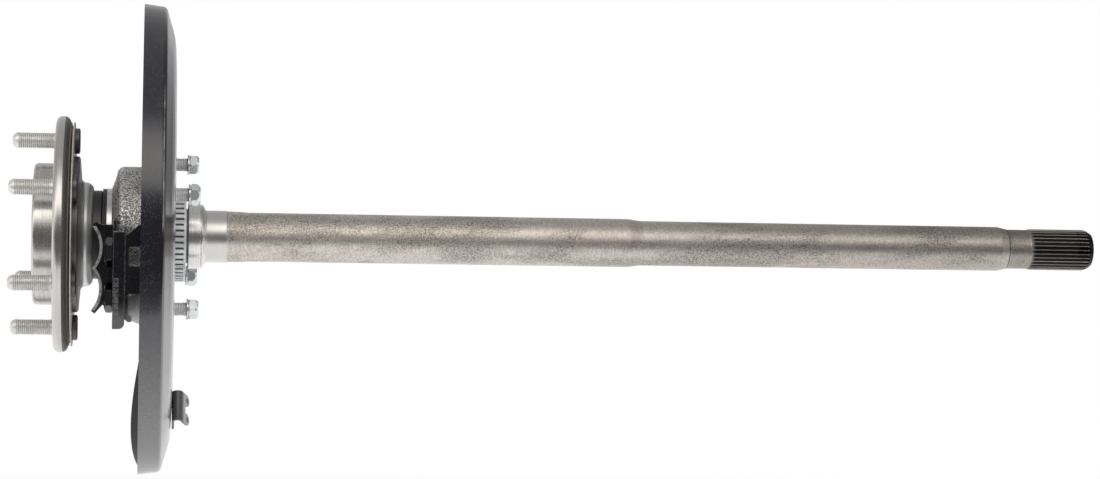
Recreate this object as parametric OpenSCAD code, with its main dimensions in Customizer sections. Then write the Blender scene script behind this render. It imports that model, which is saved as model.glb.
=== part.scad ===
// Rear axle shaft with wheel flange, bearing case, speed ring, dust shield and parking brake bracket.
// X runs along the axle, from the wheel to the spline. Z is up. The origin is where the axle
// crosses the face that bolts to the axle housing. Millimetres.

/* [Wheel flange] */
// Distance from the housing face out to the wheel face
hub_offset = 88.2; // [86:0.1:91]
// Diameter of the wheel flange
flange_d = 177; // [174:0.5:184]
// Thickness of the wheel flange
flange_t = 10.7; // [10:0.1:13]
// Diameter of the hub pilot
pilot_d = 106; // [100:0.5:110]
// Length of the hub pilot
pilot_len = 15.9; // [12:0.1:20]
// Number of wheel studs
stud_count = 6; // [5:1:6]
// Pitch circle of the wheel studs
stud_pcd = 139.7; // [138:0.1:142]
// Diameter of the wheel stud thread
stud_d = 12; // [11:0.5:13]
// Length of stud outside the wheel face
stud_reach = 32.4; // [28:0.1:40]
// Diameter of the stud head
stud_head_d = 19.2; // [17:0.2:20]
// Thickness of the stud head
stud_head_t = 3.8; // [3:0.1:5]
// Diameter of the hub behind the flange
hub_d = 117; // [114:0.5:118]
// Length of the hub behind the flange
hub_len = 7.2; // [6.6:0.1:9]
// Diameter of the boss behind the hub
hub_boss_d = 78; // [74:0.5:84]
// Length of the boss behind the hub
hub_boss_len = 10.3; // [9:0.1:11.5]
// Diameter of the gasket and the oil deflector
deflector_d = 168; // [162:0.5:172]
// Thickness of the oil deflector
deflector_t = 2.4; // [1.6:0.1:3]
// Thickness of the gasket
gasket_t = 0.6; // [0.4:0.1:1]

/* [Shaft] */
// Diameter of the bearing journal
journal_d = 40; // [39:0.5:41]
// Diameter of the shaft beside the bearing
body_d = 36.9; // [34:0.1:38]
// Diameter of the shaft toward the spline
slim_d = 34.2; // [32:0.1:36]
// Diameter of the neck before the spline
neck_d = 30.4; // [28:0.1:31]
// Outer diameter of the spline
spline_d = 32.1; // [31.5:0.1:34]
// Number of spline teeth
spline_teeth = 30; // [24:1:36]
// Length of the spline
spline_len = 47.9; // [35:0.1:60]
// Distance from the housing face to the spline end
shaft_reach = 712.7; // [660:0.1:760]
// Distance from the housing face to the step in the shaft
step_at = 345.6; // [250:0.1:450]

/* [Oil seal] */
// Diameter of the oil seal
seal_d = 69.6; // [69:0.1:70]
// Width of the oil seal
seal_w = 13.1; // [12.5:0.1:13.5]
// Distance from the housing face to the outboard side of the seal
seal_at = 50.1; // [49.6:0.1:50.6]
// Diameter of the ground land under the seal
land_d = 55; // [53:0.1:56]

/* [Bearing] */
// Distance from the housing face to the inboard side of the bearing
bearing_at = 6; // [5.5:0.1:6.5]
// Outer diameter of the bearing
bearing_d = 90; // [88:0.5:92]
// Width of the bearing
bearing_w = 28; // [26:0.5:29]
// Diameter of a ball
ball_d = 15; // [14:0.1:15.5]
// Number of balls
ball_count = 9; // [7:1:9]
// Diameter of the retainer collar
collar_d = 49; // [46:0.2:54]
// Length of the retainer collar
collar_len = 12.9; // [10:0.1:17]

/* [Speed ring] */
// Diameter of the speed ring
tone_d = 68.8; // [62:0.2:74]
// Width of the speed ring
tone_w = 8.3; // [7:0.1:9]
// Number of teeth on the speed ring
tone_teeth = 48; // [36:1:52]
// Depth of the slots between the teeth
tone_slot_depth = 2.6; // [1.5:0.1:3.4]

/* [Bearing case] */
// Diameter of the barrel of the case
case_d = 102.8; // [100:0.2:106]
// Diameter of the snout of the case
snout_d = 73.8; // [72:0.1:76]
// Distance from the housing face to the shoulder of the case
case_reach = 42.6; // [42:0.1:43]
// Distance from the housing face to the end of the snout
snout_reach = 46.3; // [45.5:0.1:47]
// Pitch circle of the studs to the axle housing
case_pcd = 124.5; // [122:0.1:128]
// Diameter of a stud to the axle housing
case_stud_d = 10; // [9:0.5:11]
// Diameter of a boss on the case
boss_d = 24; // [22:0.5:26]
// Length of a boss on the case
boss_len = 22.8; // [21:0.1:26]
// Depth of the pad that carries the brake bracket
pad_t = 5.8; // [5.5:0.1:6.7]
// Free length of stud between the shield and the washer
stud_gap = 9.7; // [8:0.1:11]
// Width of a nut across flats
nut_af = 14; // [13.5:0.5:17]
// Height of a nut
nut_h = 7.2; // [6:0.1:9]
// Thickness of a spring washer
washer_t = 1.5; // [1:0.1:2]

/* [Dust shield] */
// Diameter at the edge of the rim
shield_d = 353; // [346:1:362]
// Depth from the housing face to the edge of the rim
shield_depth = 24.5; // [23:0.1:29]
// Thickness of the sheet
sheet_t = 1.2; // [1:0.1:1.6]
// How far the middle of the shield lies under the axle
shield_drop = 2.8; // [0:0.1:4]
// How far the wider lip on the lower rear stands out
lip_out = 6.2; // [3:0.1:9]

/* [Cable clip] */
// Width of the strap
clip_w = 23; // [20:0.5:25]
// Thickness of the strap
clip_t = 1.8; // [1.4:0.1:2]
// Outer radius of the bend
clip_bend_r = 4; // [3.5:0.1:5]
// Diameter of a hole in the clip
clip_hole_d = 4.4; // [3:0.1:5]
// Angle of the clip below the level of the axle
clip_angle = 65; // [55:1:75]

/* [Brake bracket] */
// Distance from the housing face to the outboard side of the bracket
bracket_at = 44.4; // [43.9:0.1:44.9]
// Distance from the axle to the near edge of the bracket
bracket_out = 70.5; // [69:0.1:72]
// Width of the bracket plate
bracket_w = 29.5; // [28:0.1:29.8]
// Height of the bracket plate
bracket_h = 79.5; // [76:0.1:82]
// Height of the bracket's top edge over the axle
bracket_top = 12; // [10:0.1:13]
// How far the fork stands out toward the wheel
fork_reach = 15.6; // [13:0.1:17]
// Distance between the two scallops of the fork
fork_pitch = 30.7; // [28:0.1:32]
// Radius of a scallop
scallop_r = 24; // [22:0.1:30]
// Distance from the axle out to the bracket bolts
bolt_out = 56; // [55:0.1:57]
// Distance between the bracket bolts
bolt_pitch = 33.4; // [32:0.1:35]
// Thickness of the stamped plate
plate_t = 2.6; // [2:0.1:2.8]
// Thickness of the hemmed edge of the bracket
hem_t = 4.2; // [3:0.1:5]
// Width of a bracket bolt head across flats
bolt_af = 19; // [17:0.5:19.5]
// Height of a bracket bolt head
bolt_head_t = 6.2; // [5:0.1:7]

/* [Hidden] */
$fn = 96;
press = 0.02;
pilot_r = pilot_d / 2;
flange_r = flange_d / 2;
face_x = -hub_offset;
pilot_x = face_x - pilot_len;
floor_x = face_x - 2.7;
back_x = face_x + flange_t;
gasket_x = back_x + gasket_t;
defl_x = gasket_x + deflector_t;
head_x = defl_x + stud_head_t;
hub_r = hub_d / 2;
hub_x = back_x + hub_len;
boss_r = hub_boss_d / 2;
boss_x = hub_x + hub_boss_len;
land_r = land_d / 2;
land_x = -seal_at - 3.4;
seat_r = land_r + 5.6;
stud_r = stud_d / 2;
neck_in_r = stud_r + 0.35;
journal_r = journal_d / 2;
brg_x1 = -bearing_at;
brg_x0 = brg_x1 - bearing_w;
brg_mid = (brg_x0 + brg_x1) / 2;
brg_r = bearing_d / 2;
ball_r = ball_d / 2;
pitch_r = (journal_r + brg_r) / 2;
groove_r = ball_r + 0.25;
inner_r = pitch_r - ball_r * 0.73;
outer_r = pitch_r + ball_r * 0.76;
tone_x0 = 0.4;
tone_x1 = tone_x0 + tone_w;
collar_x = tone_x1 + 1.4;
collar_end = collar_x + collar_len;
case_r = case_d / 2;
case_wall = case_r - brg_r;
snap_r = brg_r + case_wall * 0.33;
snout_r = snout_d / 2;
snout_x = -snout_reach;
case_x = -case_reach;
case_end = -sheet_t;
bolt_r = case_pcd / 2;
case_stud_r = case_stud_d / 2;
serration_r = case_stud_r + 0.5;
thread_r = case_stud_r - 0.4;
nut_x = stud_gap + washer_t;
nut_end = nut_x + nut_h;
seal_r = seal_d / 2;
seal_x0 = -seal_at;
seal_x1 = seal_x0 + seal_w;
rim_r = shield_d / 2;
rim_lean = 1.7;
spline_x = shaft_reach - spline_len;
spline_r = spline_d / 2;
root_r = spline_r - 1.2;
plate_x = -bracket_at;
pad_x = plate_x + plate_t;
pad_end = pad_x + pad_t;
near_y = -bracket_out;
far_y = near_y + bracket_w;
bracket_z = bracket_top - bracket_h;
bolt_y = -bolt_out;
bolt_z = [for (s = [1, -1]) bracket_top - 40.6 + s * bolt_pitch / 2];
fork_x = plate_x - fork_reach;
fork_z = [for (s = [1, -1]) bracket_top - 36 + s * fork_pitch / 2];

function arc(cx, cy, r, a0, a1, n = 8) =
    [for (i = [0:n]) [cx + r * cos(a0 + (a1 - a0) * i / n), cy + r * sin(a0 + (a1 - a0) * i / n)]];

// A solid of revolution about the axle. Points are [radius, x].
module turned(p) {
    rotate([0, 90, 0]) rotate_extrude() polygon(p);
}

// A round bar along the axle direction.
module rod(r, x0, x1) {
    translate([x0, 0, 0]) rotate([0, 90, 0]) cylinder(r = r, h = x1 - x0);
}

// A ring of round section about the axle.
module hoop(ring_r, wire_r, x) {
    rotate([0, 90, 0]) translate([0, 0, x]) rotate_extrude() translate([ring_r, 0]) circle(r = wire_r);
}

// Copies about the axle. At angle 0 a copy is on top, and the angle grows toward the front.
module around(n, r, first = 0) {
    for (i = [0:n - 1]) rotate([first + 360 / n * i, 0, 0]) translate([0, 0, r]) children();
}

// A plate outline in X and Z, between two Y values.
module side_plate(p, y0, y1) {
    translate([0, y1, 0]) rotate([90, 0, 0]) linear_extrude(height = y1 - y0) polygon(p);
}

module axle_shaft() {
    color("#8c8780")
    difference() {
        turned(concat(
            [[0, floor_x + 3.6], [3.2, floor_x]],
            arc(pilot_r - 18, floor_x - 4, 4, 90, 0, 6),
            [[pilot_r - 12, pilot_x + 1], [pilot_r - 11, pilot_x]],
            arc(pilot_r - 3, pilot_x + 3, 3, -90, 0, 6),
            [[pilot_r, face_x]],
            arc(flange_r - 4.5, face_x + 4.5, 4.5, -90, 0),
            arc(flange_r - 5.2, back_x - 5.2, 5.2, 0, 90),
            [[hub_r, back_x], [hub_r, hub_x - 0.8], [hub_r - 1.4, hub_x]],
            hub_sweep(hub_boss_len * 0.34, hub_boss_len * 0.53, (boss_r - seat_r) * 0.92),
            [[seat_r, boss_x], [seat_r, land_x - 0.6], [seat_r - 0.6, land_x], [land_r, land_x],
             [land_r, brg_x0 - 4.4], [land_r - 1.5, brg_x0 - 3.6], [land_r - 1.5, brg_x0],
             [journal_r, brg_x0], [journal_r, collar_end + 0.4], [journal_r - 0.45, collar_end + 1],
             [journal_r - 0.45, collar_end + 16], [journal_r - 0.85, collar_end + 16.8],
             [body_d / 2 + 0.45, collar_end + 28.4], [body_d / 2, collar_end + 31.4],
             [body_d / 2, step_at], [slim_d / 2, step_at + 9.5],
             [slim_d / 2, spline_x - 26.9], [neck_d / 2 + 0.4, spline_x - 20.2],
             [neck_d / 2, spline_x - 18.7], [neck_d / 2, spline_x - 3.3], [spline_r, spline_x],
             [spline_r, shaft_reach - 6.4], [spline_r - 1.1, shaft_reach - 3.2], [spline_r - 3, shaft_reach],
             [3.2, shaft_reach], [0, shaft_reach - 3.2]]));
        around(stud_count, stud_pcd / 2) rod(neck_in_r + press, face_x - 1, back_x + 1);
        translate([spline_x - 2.2, 0, 0]) rotate([0, 90, 0])
            linear_extrude(height = spline_len + 4) for (i = [0:spline_teeth - 1])
                rotate(360 / spline_teeth * i) polygon(spline_groove());
    }
}

// The forged sweep from the hub into the boss: a hollow fillet, then a rounded shoulder.
function hub_sweep(fillet, long, deep) =
    concat(arc(boss_r + fillet, hub_x + hub_boss_len * 0.46, fillet, -90, -180),
           [for (a = [0:10:90]) [boss_r - deep * (1 - cos(a)), boss_x - long * (1 - sin(a))]]);

// Cross section of one gap between two spline teeth.
function spline_groove() =
    let (a = 180 / spline_teeth, w0 = root_r * sin(a) * 0.62, w1 = spline_r * sin(a) * 1.34)
    [[root_r, -w0], [spline_r + 0.6, -w1], [spline_r + 0.6, w1], [root_r, w0]];

module wheel_studs() {
    tip = face_x - stud_reach;
    color("#9a9894")
    around(stud_count, stud_pcd / 2)
        turned([[0, tip], [stud_r * 0.37, tip], [stud_r * 0.65, tip + 0.7], [stud_r * 0.82, tip + 1.8],
                [stud_r * 0.92, tip + 3], [stud_r, tip + 5], [stud_r, face_x], [neck_in_r, face_x],
                [neck_in_r, defl_x], [stud_head_d / 2, defl_x], [stud_head_d / 2, head_x - 0.8],
                [stud_head_d / 2 - 1.2, head_x], [0, head_x]]);
}

// A ring on the back of the flange, with a hole for each wheel stud. Points are [radius, x].
module flange_ring(p) {
    difference() {
        turned(p);
        around(stud_count, stud_pcd / 2) rod(neck_in_r + 0.25, back_x - 1, defl_x + 1);
    }
}

module deflector_gasket() {
    r = deflector_d / 2 - 0.4;
    color("#6b4a2f")
    flange_ring([[hub_r + 0.5, back_x], [r, back_x], [r, gasket_x], [hub_r + 0.5, gasket_x]]);
}

// The rim is thinner than the seat, so a groove runs between it and the gasket.
module oil_deflector() {
    r = deflector_d / 2;
    rim_x = defl_x - deflector_t * 0.4;
    color("#c8c8c4")
    flange_ring([[hub_r + 0.5, gasket_x], [r - 2.6, gasket_x], [r - 2.6, rim_x], [r - 0.2, rim_x], [r, rim_x + 0.2],
                 [r, defl_x - 0.2], [r - 0.2, defl_x], [hub_r + 0.5, defl_x]]);
}

module bearing_inner_ring() {
    color("#b0b2b4")
    difference() {
        turned([[journal_r + press, brg_x0], [inner_r - 0.6, brg_x0], [inner_r, brg_x0 + 0.6],
                [inner_r, brg_x1 - 0.6], [inner_r - 0.6, brg_x1], [journal_r + press, brg_x1]]);
        hoop(pitch_r, groove_r, brg_mid);
    }
}

module bearing_outer_ring() {
    color("#b0b2b4")
    difference() {
        turned([[outer_r, brg_x0], [brg_r - press - 1, brg_x0], [brg_r - press, brg_x0 + 1],
                [brg_r - press, brg_x1 - 1], [brg_r - press - 1, brg_x1], [outer_r, brg_x1]]);
        hoop(pitch_r, groove_r, brg_mid);
    }
}

module bearing_balls() {
    color("#c4c6c8")
    around(ball_count, pitch_r) translate([brg_mid, 0, 0]) sphere(r = ball_r);
}

module ball_cage() {
    wall = ball_d * 0.133;
    half = ball_d * 0.667;
    color("#a39a80")
    difference() {
        turned([[pitch_r - wall, brg_mid - half], [pitch_r + wall, brg_mid - half],
                [pitch_r + wall, brg_mid + half], [pitch_r - wall, brg_mid + half]]);
        around(ball_count, pitch_r) translate([brg_mid, 0, 0]) sphere(r = groove_r);
    }
}

// A flat seal in the mouth of the bearing.
module bearing_seal(x0) {
    turned([[inner_r + 0.3, x0], [outer_r - press, x0], [outer_r - press, x0 + 1.2], [inner_r + 0.3, x0 + 1.2]]);
}

module outboard_bearing_seal() {
    color("#232325")
    bearing_seal(brg_x0 + 0.6);
}

module inboard_bearing_seal() {
    color("#232325")
    bearing_seal(brg_x1 - 1.8);
}

module bearing_snap_ring() {
    color("#3a3a3c")
    difference() {
        turned([[brg_r - 2.8, brg_x1], [snap_r - 0.2, brg_x1], [snap_r - 0.2, brg_x1 + 1.8], [brg_r - 2.8, brg_x1 + 1.8]]);
        translate([brg_x1 - 1, -6, brg_r - 8]) cube([4, 12, 16]);
    }
}

module tone_ring() {
    r = tone_d / 2;
    slot_w = PI * tone_d / tone_teeth * 0.37;
    color("#c9d0d4")
    difference() {
        turned([[journal_r + press, brg_x1], [journal_r + 3.6, brg_x1], [journal_r + 3.6, tone_x1 - 5.6],
                [r - 4.8, tone_x1 - 4.8], [r - 4.8, tone_x0], [r - 0.3, tone_x0], [r, tone_x0 + 0.3],
                [r, tone_x1 - 0.3], [r - 0.3, tone_x1], [r - 3.6, tone_x1], [r - 4.2, tone_x1 - 2.4],
                [journal_r + 0.6, tone_x1 - 3.4], [journal_r + 0.6, collar_x], [journal_r + press, collar_x]]);
        around(tone_teeth, r) translate([0, -slot_w / 2, -tone_slot_depth]) cube([tone_x1 - 1.8, slot_w, 5]);
    }
}

module bearing_retainer() {
    r = collar_d / 2;
    wall = r - journal_r;
    color("#b8b6b0")
    turned([[journal_r + press, collar_x], [r - 0.6, collar_x], [r, collar_x + 0.6], [r, collar_end - 3.6],
            [r - wall * 0.2, collar_end - 3.5], [r - wall * 0.2, collar_end - 2.8], [r - wall * 0.08, collar_end - 2.7],
            [r - wall * 0.2, collar_end - 1.7], [r - wall * 0.7, collar_end], [journal_r + press, collar_end]]);
}

module bearing_case() {
    color("#77756f")
    difference() {
        union() {
            turned(concat(
                [[seal_r + press, snout_x], [snout_r - 0.6, snout_x], [snout_r + 0.2, snout_x + 0.6],
                 [snout_r + 7.6, case_x - 0.6]],
                arc(case_r - 6, case_x + 5.4, 6, -65, 0),
                [[case_r, case_end], [brg_r, case_end], [brg_r, brg_x0], [brg_r - 5, brg_x0],
                 [brg_r - 5, seal_x1 + 0.2], [seal_r + press, seal_x1 + 0.2]]));
            intersection() {
                case_arms();
                difference() {
                    rod(bolt_r + boss_d, plate_x, case_end);
                    rod(brg_r + case_wall / 2, plate_x - 1, 1);
                }
            }
        }
        turned([[brg_r - 1, brg_x1], [snap_r, brg_x1], [snap_r, brg_x1 + 1.84], [brg_r - 1, brg_x1 + 1.84]]);
        around(4, bolt_r, 60) rod(serration_r + press, -21, 1);
        translate([snout_x - 1, near_y, bracket_z - 1])
            cube([pad_x - snout_x + 1, bracket_w + 0.3, bracket_h + 2]);
        for (z = bolt_z) translate([0, bolt_y, z]) rod(5 + press, pad_x - 1, pad_end - 0.6);
    }
}

// Bosses, arms and the bracket pad around the barrel of the case.
module case_arms() {
    arm_len = boss_len / 2;
    around(4, bolt_r, 60) rod(boss_d / 2, case_end - boss_len, case_end);
    around(4, 0, 60) translate([case_end - arm_len, -boss_d / 2 + 2, 40]) cube([arm_len, boss_d - 4, bolt_r - 40]);
    translate([pad_x, near_y + 4.5, bracket_z + 3.5]) cube([pad_t, 26, bracket_h - 7.2]);
    translate([pad_x, near_y + 24.5, bracket_z + 3.5]) cube([pad_t, 28, 34]);
}

module oil_seal_case() {
    color("#d5d5d0")
    turned([[seal_r, seal_x0], [seal_r, seal_x1], [land_r + 3, seal_x1], [land_r + 3, seal_x1 - 1.2],
            [seal_r - 1.2, seal_x1 - 1.2], [seal_r - 1.2, seal_x0]]);
}

module oil_seal_lip() {
    lip_x = seal_x0 - 3.1;
    in_r = seal_r - 1.2 - press;
    color("#1c1c1e")
    turned([[seal_r - 0.3, lip_x], [seal_r - 0.3, seal_x0 - press], [in_r, seal_x0 - press],
            [in_r, seal_x1 - 1.2 - press], [land_r + 1.7, seal_x1 - 1.2 - press], [land_r + 1.1, seal_x1 - 3.5],
            [land_r + 0.25, seal_x1 - 6.2], [land_r + 0.9, seal_x1 - 7.6], [land_r + 1.7, seal_x1 - 7.6],
            [land_r + 1.7, seal_x1 - 6.4], [land_r + 2.4, seal_x1 - 3], [seal_r - 2.8, seal_x1 - 2.6],
            [seal_r - 2.8, seal_x0 + 0.1], [land_r + 2.1, seal_x0 - 0.5], [land_r + 0.45, lip_x + 1],
            [land_r + 0.8, lip_x]]);
}

module garter_spring() {
    color("#a8a8a8")
    hoop(land_r + 2.52, 0.8, seal_x1 - 7);
}

module case_studs() {
    end = nut_end - 0.3;
    color("#c4c8cc")
    around(4, bolt_r, 60)
        turned([[0, -20], [serration_r, -20], [serration_r, 0], [case_stud_r, 0], [case_stud_r, stud_gap - 0.5],
                [thread_r, stud_gap], [thread_r, end - 1], [thread_r - 1, end], [0, end]]);
}

module spring_washers() {
    color("#c9d0d4")
    around(4, bolt_r, 60) difference() {
        turned([[0, stud_gap], [nut_af * 0.53, stud_gap], [nut_af * 0.55, stud_gap + 0.3],
                [nut_af * 0.55, nut_x - 0.3], [nut_af * 0.53, nut_x], [0, nut_x]]);
        rod(thread_r + 0.4, stud_gap - 1, nut_x + 1);
        translate([stud_gap - 1, -0.5, 0]) cube([washer_t + 2, 1, nut_af]);
    }
}

// A hexagon along the axle with its corners turned down over a length at each end.
module hexagon(af, x0, x1, cut0, cut1) {
    c = af / 2 / cos(30);
    intersection() {
        translate([x0, 0, 0]) rotate([0, 90, 0]) cylinder(r = c, h = x1 - x0, $fn = 6);
        turned([[0, x0], [af * 0.47, x0], [c + 0.2, x0 + cut0], [c + 0.2, x1 - cut1], [af * 0.51, x1 - cut1 * 0.4],
                [af * 0.42, x1], [0, x1]]);
    }
}

module case_nuts() {
    color("#c9d0d4")
    around(4, bolt_r, 60) difference() {
        hexagon(nut_af, nut_x, nut_end, 1.1, 3.4);
        rod(thread_r + press, nut_x - 1, nut_end + 1);
    }
}

// The dished sheet as a solid of revolution about its own middle.
function shield_points() =
    let (r = rim_r, t = sheet_t, d = shield_depth, b = rim_lean + 4)
    concat([[0, 0], [r - 46, 0], [r - 32, -0.7], [r - 25, -1.5], [r - 19, -2.9], [r - 13, -4.8]],
           arc(r - b, -11.1, 4, 68, 5, 6), [[r, -d], [r - t, -d]], arc(r - b, -11.1, 4 - t, 5, 68, 6),
           [[r - 13.4, -4.8 - t], [r - 19.3, -2.9 - t], [r - 25.2, -1.5 - t], [r - 32, -0.7 - t], [r - 46, -t], [0, -t]]);

module dust_shield() {
    color("#16161a")
    difference() {
        translate([0, 0, -shield_drop]) {
            turned(shield_points());
            shield_lip();
        }
        rod(brg_r, -10, 10);
        around(4, bolt_r, 60) rod(serration_r + press, -10, 10);
    }
}

// The wider lip on the lower rear of the rim, a lens cut out of a longer and slightly thinner rim.
module shield_lip() {
    k = rim_lean / (shield_depth - 10.8);
    skin = 0.1;
    lap = 1.5;
    half = shield_d * 0.2;
    bow = (half * half + lip_out * lip_out) / 2 / lip_out;
    outer = [[rim_r - lap * k - skin, -shield_depth + lap], [rim_r + lip_out * k - skin, -shield_depth - lip_out]];
    wall = [sheet_t - 2 * skin, 0];
    intersection() {
        turned([outer[0], outer[1], outer[1] - wall, outer[0] - wall]);
        rotate([213.5, 0, 0]) translate([bow - shield_depth - lip_out, 0, rim_r - 40])
            cylinder(r = bow, h = 60);
    }
}

// Side view of the strap: a foot on the shield, a bend and a leg that leans away from the shield.
function strap_points(foot, leg, lean) =
    let (r = clip_bend_r, i = clip_bend_r - clip_t, end = leg * [sin(lean), -cos(lean)])
    concat([[0, -foot]], arc(r, 0, r, 180, lean, 12), [[r + r * cos(lean), r * sin(lean)] + end,
           [r + i * cos(lean), i * sin(lean)] + end], arc(r, 0, i, lean, 180, 12), [[clip_t, -foot]]);

// Everything beyond the two round ears at the end of the leg.
function ear_cut(hole_at, ear, gap) =
    concat([[-40, -clip_w], [-hole_at, -clip_w]], arc(-hole_at, -gap, ear, 270, 90), [[-6, ear - gap], [-6, gap - ear]],
           arc(-hole_at, gap, ear, 270, 90), [[-hole_at, clip_w], [-40, clip_w]]);

module cable_clip() {
    lean = 22;
    hole_at = 9.5;
    ear = clip_hole_d / 2 + 2;
    gap = clip_w / 2 - ear;
    color("#2a2a2c")
    rotate([90 + clip_angle, 0, 0]) translate([0, 0, rim_r - 39]) difference() {
        translate([0, 0, -clip_w / 2]) linear_extrude(height = clip_w)
            polygon(strap_points(16, hole_at + ear + 1, lean));
        translate([clip_bend_r, 0, 0]) rotate([0, 0, lean]) translate([clip_bend_r - clip_t - 1, 0, 0]) {
            rotate([90, 0, 90]) linear_extrude(height = clip_t + 2) polygon(ear_cut(hole_at, ear, gap));
            for (s = [-1, 1]) translate([0, -hole_at, s * gap]) rod(clip_hole_d / 2, 0, clip_t + 2);
        }
    }
}

module brake_bracket() {
    hem_x = pad_end + 0.4;
    hem_y = near_y + plate_t - hem_t;
    foot_h = bracket_h * 0.64;
    color("#141418")
    difference() {
        union() {
            translate([plate_x, near_y, bracket_z]) cube([plate_t, bracket_w, bracket_h]);
            bracket_fork(far_y - plate_t, far_y);
            side_plate(concat([[plate_x, bracket_top - 8.5], [hem_x, bracket_top - 8.5]],
                              arc(hem_x - 4.2, bracket_z + 4.2, 4.2, 0, -90, 5), [[plate_x, bracket_z]]),
                       hem_y, near_y + plate_t);
            bracket_arm(near_y, near_y + plate_t, bracket_top - 3.3, foot_h);
            translate([case_end - plate_t, near_y, bracket_top - 3.3 - foot_h]) cube([plate_t, 14, foot_h]);
        }
        for (z = bolt_z) translate([0, bolt_y, z]) rod(5.3, plate_x - 1, pad_x + 1);
        for (i = [0:11]) translate([plate_x + 1, hem_y - 1, bracket_top - 44 - 2.3 * i]) cube([3, 1.6, 1.1]);
    }
}

// The plate turned toward the wheel, with two scallops between three tips and a rolled edge.
module bracket_fork(y0, y1) {
    top = fork_z[0] + fork_pitch / 2;
    low = fork_z[1] - fork_pitch / 2;
    mid_x = fork_x + 5.5 - scallop_r;
    difference() {
        union() {
            side_plate([[fork_x, top + 1], [fork_x + 2.4, top + 3.4], [fork_x + 8, top + 1.6], [plate_x, top + 1.6],
                        [plate_x, low], [fork_x + 8, low + 3.5], [fork_x + 2.4, low - 2.9], [fork_x, low - 1.1]], y0, y1);
            for (z = fork_z) intersection() {
                translate([mid_x, y1, z]) rotate([90, 0, 0]) cylinder(r = scallop_r + 2.2, h = y1 - y0 + plate_t);
                translate([fork_x, y0 - plate_t, z - fork_pitch / 2]) cube([9, y1 - y0 + plate_t, fork_pitch]);
            }
        }
        for (z = fork_z) translate([mid_x, y1 + 1, z]) rotate([90, 0, 0]) cylinder(r = scallop_r, h = 12);
    }
}

// The plate that runs from the hemmed edge to the shield, with a window in it.
module bracket_arm(y0, y1, top, foot_h) {
    end = case_end - plate_t / 2;
    x = pad_end + 3.2;
    hook_z = bracket_z + 8;
    difference() {
        side_plate([[x - 5.2, top - 7.7], [x - 0.8, top - 6.7], [x + 6.8, top], [end, top], [end, top - foot_h],
                    [x, top - foot_h], [x, hook_z + 2.5], [x + 2.2, hook_z + 0.9], [x + 2.6, hook_z - 1.5],
                    [x + 1.4, hook_z - 3.1], [x - 0.6, hook_z - 2.7], [x - 5.2, hook_z + 1.1]], y0, y1);
        translate([x + 0.2, y0 - 1, top - 30]) cube([end - x - 14, y1 - y0 + 2, 13.3]);
    }
}

module bracket_bolts() {
    color("#6a6a6c")
    for (z = bolt_z) translate([0, bolt_y, z]) {
        rod(5, plate_x - 0.5, pad_end - 1);
        mirror([1, 0, 0]) hexagon(bolt_af, -plate_x, -plate_x + bolt_head_t, 0.8, 1.8);
    }
}

axle_shaft();
wheel_studs();
deflector_gasket();
oil_deflector();
bearing_inner_ring();
tone_ring();
bearing_retainer();
ball_cage();
bearing_balls();
bearing_case();
bearing_outer_ring();
outboard_bearing_seal();
inboard_bearing_seal();
bearing_snap_ring();
oil_seal_case();
oil_seal_lip();
garter_spring();
case_studs();
spring_washers();
case_nuts();
dust_shield();
cable_clip();
brake_bracket();
bracket_bolts();
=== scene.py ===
"""Looks of the rear axle shaft: threads, finishes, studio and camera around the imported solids."""

import logging
import math
from dataclasses import dataclass
from enum import Enum
from typing import Any, Callable, Optional, Sequence, Union

import bpy
import numpy as np
from mathutils import Matrix, Vector


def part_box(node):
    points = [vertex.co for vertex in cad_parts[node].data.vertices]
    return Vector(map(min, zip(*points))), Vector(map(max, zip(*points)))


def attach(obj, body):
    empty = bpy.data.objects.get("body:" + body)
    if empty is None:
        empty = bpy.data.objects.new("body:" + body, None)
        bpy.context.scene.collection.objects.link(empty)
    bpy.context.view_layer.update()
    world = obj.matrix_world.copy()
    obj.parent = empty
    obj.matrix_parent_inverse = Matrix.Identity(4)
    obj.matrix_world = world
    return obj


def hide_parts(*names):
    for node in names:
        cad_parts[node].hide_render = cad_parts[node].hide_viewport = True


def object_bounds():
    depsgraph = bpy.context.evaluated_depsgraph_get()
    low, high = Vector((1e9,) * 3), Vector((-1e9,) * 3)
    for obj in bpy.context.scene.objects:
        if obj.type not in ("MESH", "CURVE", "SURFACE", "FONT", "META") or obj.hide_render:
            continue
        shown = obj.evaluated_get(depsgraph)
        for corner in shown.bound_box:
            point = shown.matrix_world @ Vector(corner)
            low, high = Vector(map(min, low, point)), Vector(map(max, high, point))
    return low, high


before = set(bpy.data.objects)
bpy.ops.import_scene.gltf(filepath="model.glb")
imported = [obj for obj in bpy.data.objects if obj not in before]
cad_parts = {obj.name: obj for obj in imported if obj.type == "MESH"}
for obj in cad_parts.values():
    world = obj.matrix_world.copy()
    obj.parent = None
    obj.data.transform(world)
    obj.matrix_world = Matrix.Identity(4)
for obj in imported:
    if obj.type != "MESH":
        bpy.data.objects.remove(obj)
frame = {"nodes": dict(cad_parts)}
CAD_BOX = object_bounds()

log = logging.getLogger("axle_shaft")

Socket = bpy.types.NodeSocket
Input = Union[Socket, float, Sequence[float]]
Colour = tuple[float, float, float]
Span = tuple[float, float]
Outline = list[tuple[float, float]]


def start_of(node: str) -> float:
    """Give where a solid starts along the axle, to a micrometre."""
    return round(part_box(node)[0][0], 6)


def end_of(node: str) -> float:
    """Give where a solid ends along the axle, to a micrometre."""
    return round(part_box(node)[1][0], 6)


def shade(colour: Colour, factor: float) -> Colour:
    """Give a colour made darker or lighter, at most white."""
    return tuple(min(1.0, part * factor) for part in colour)


THREAD = "thread"
FULL_TURN = 2.0 * math.pi
SHARP_ANGLE = math.radians(48.0)
SKIM = 0.0001

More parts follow.
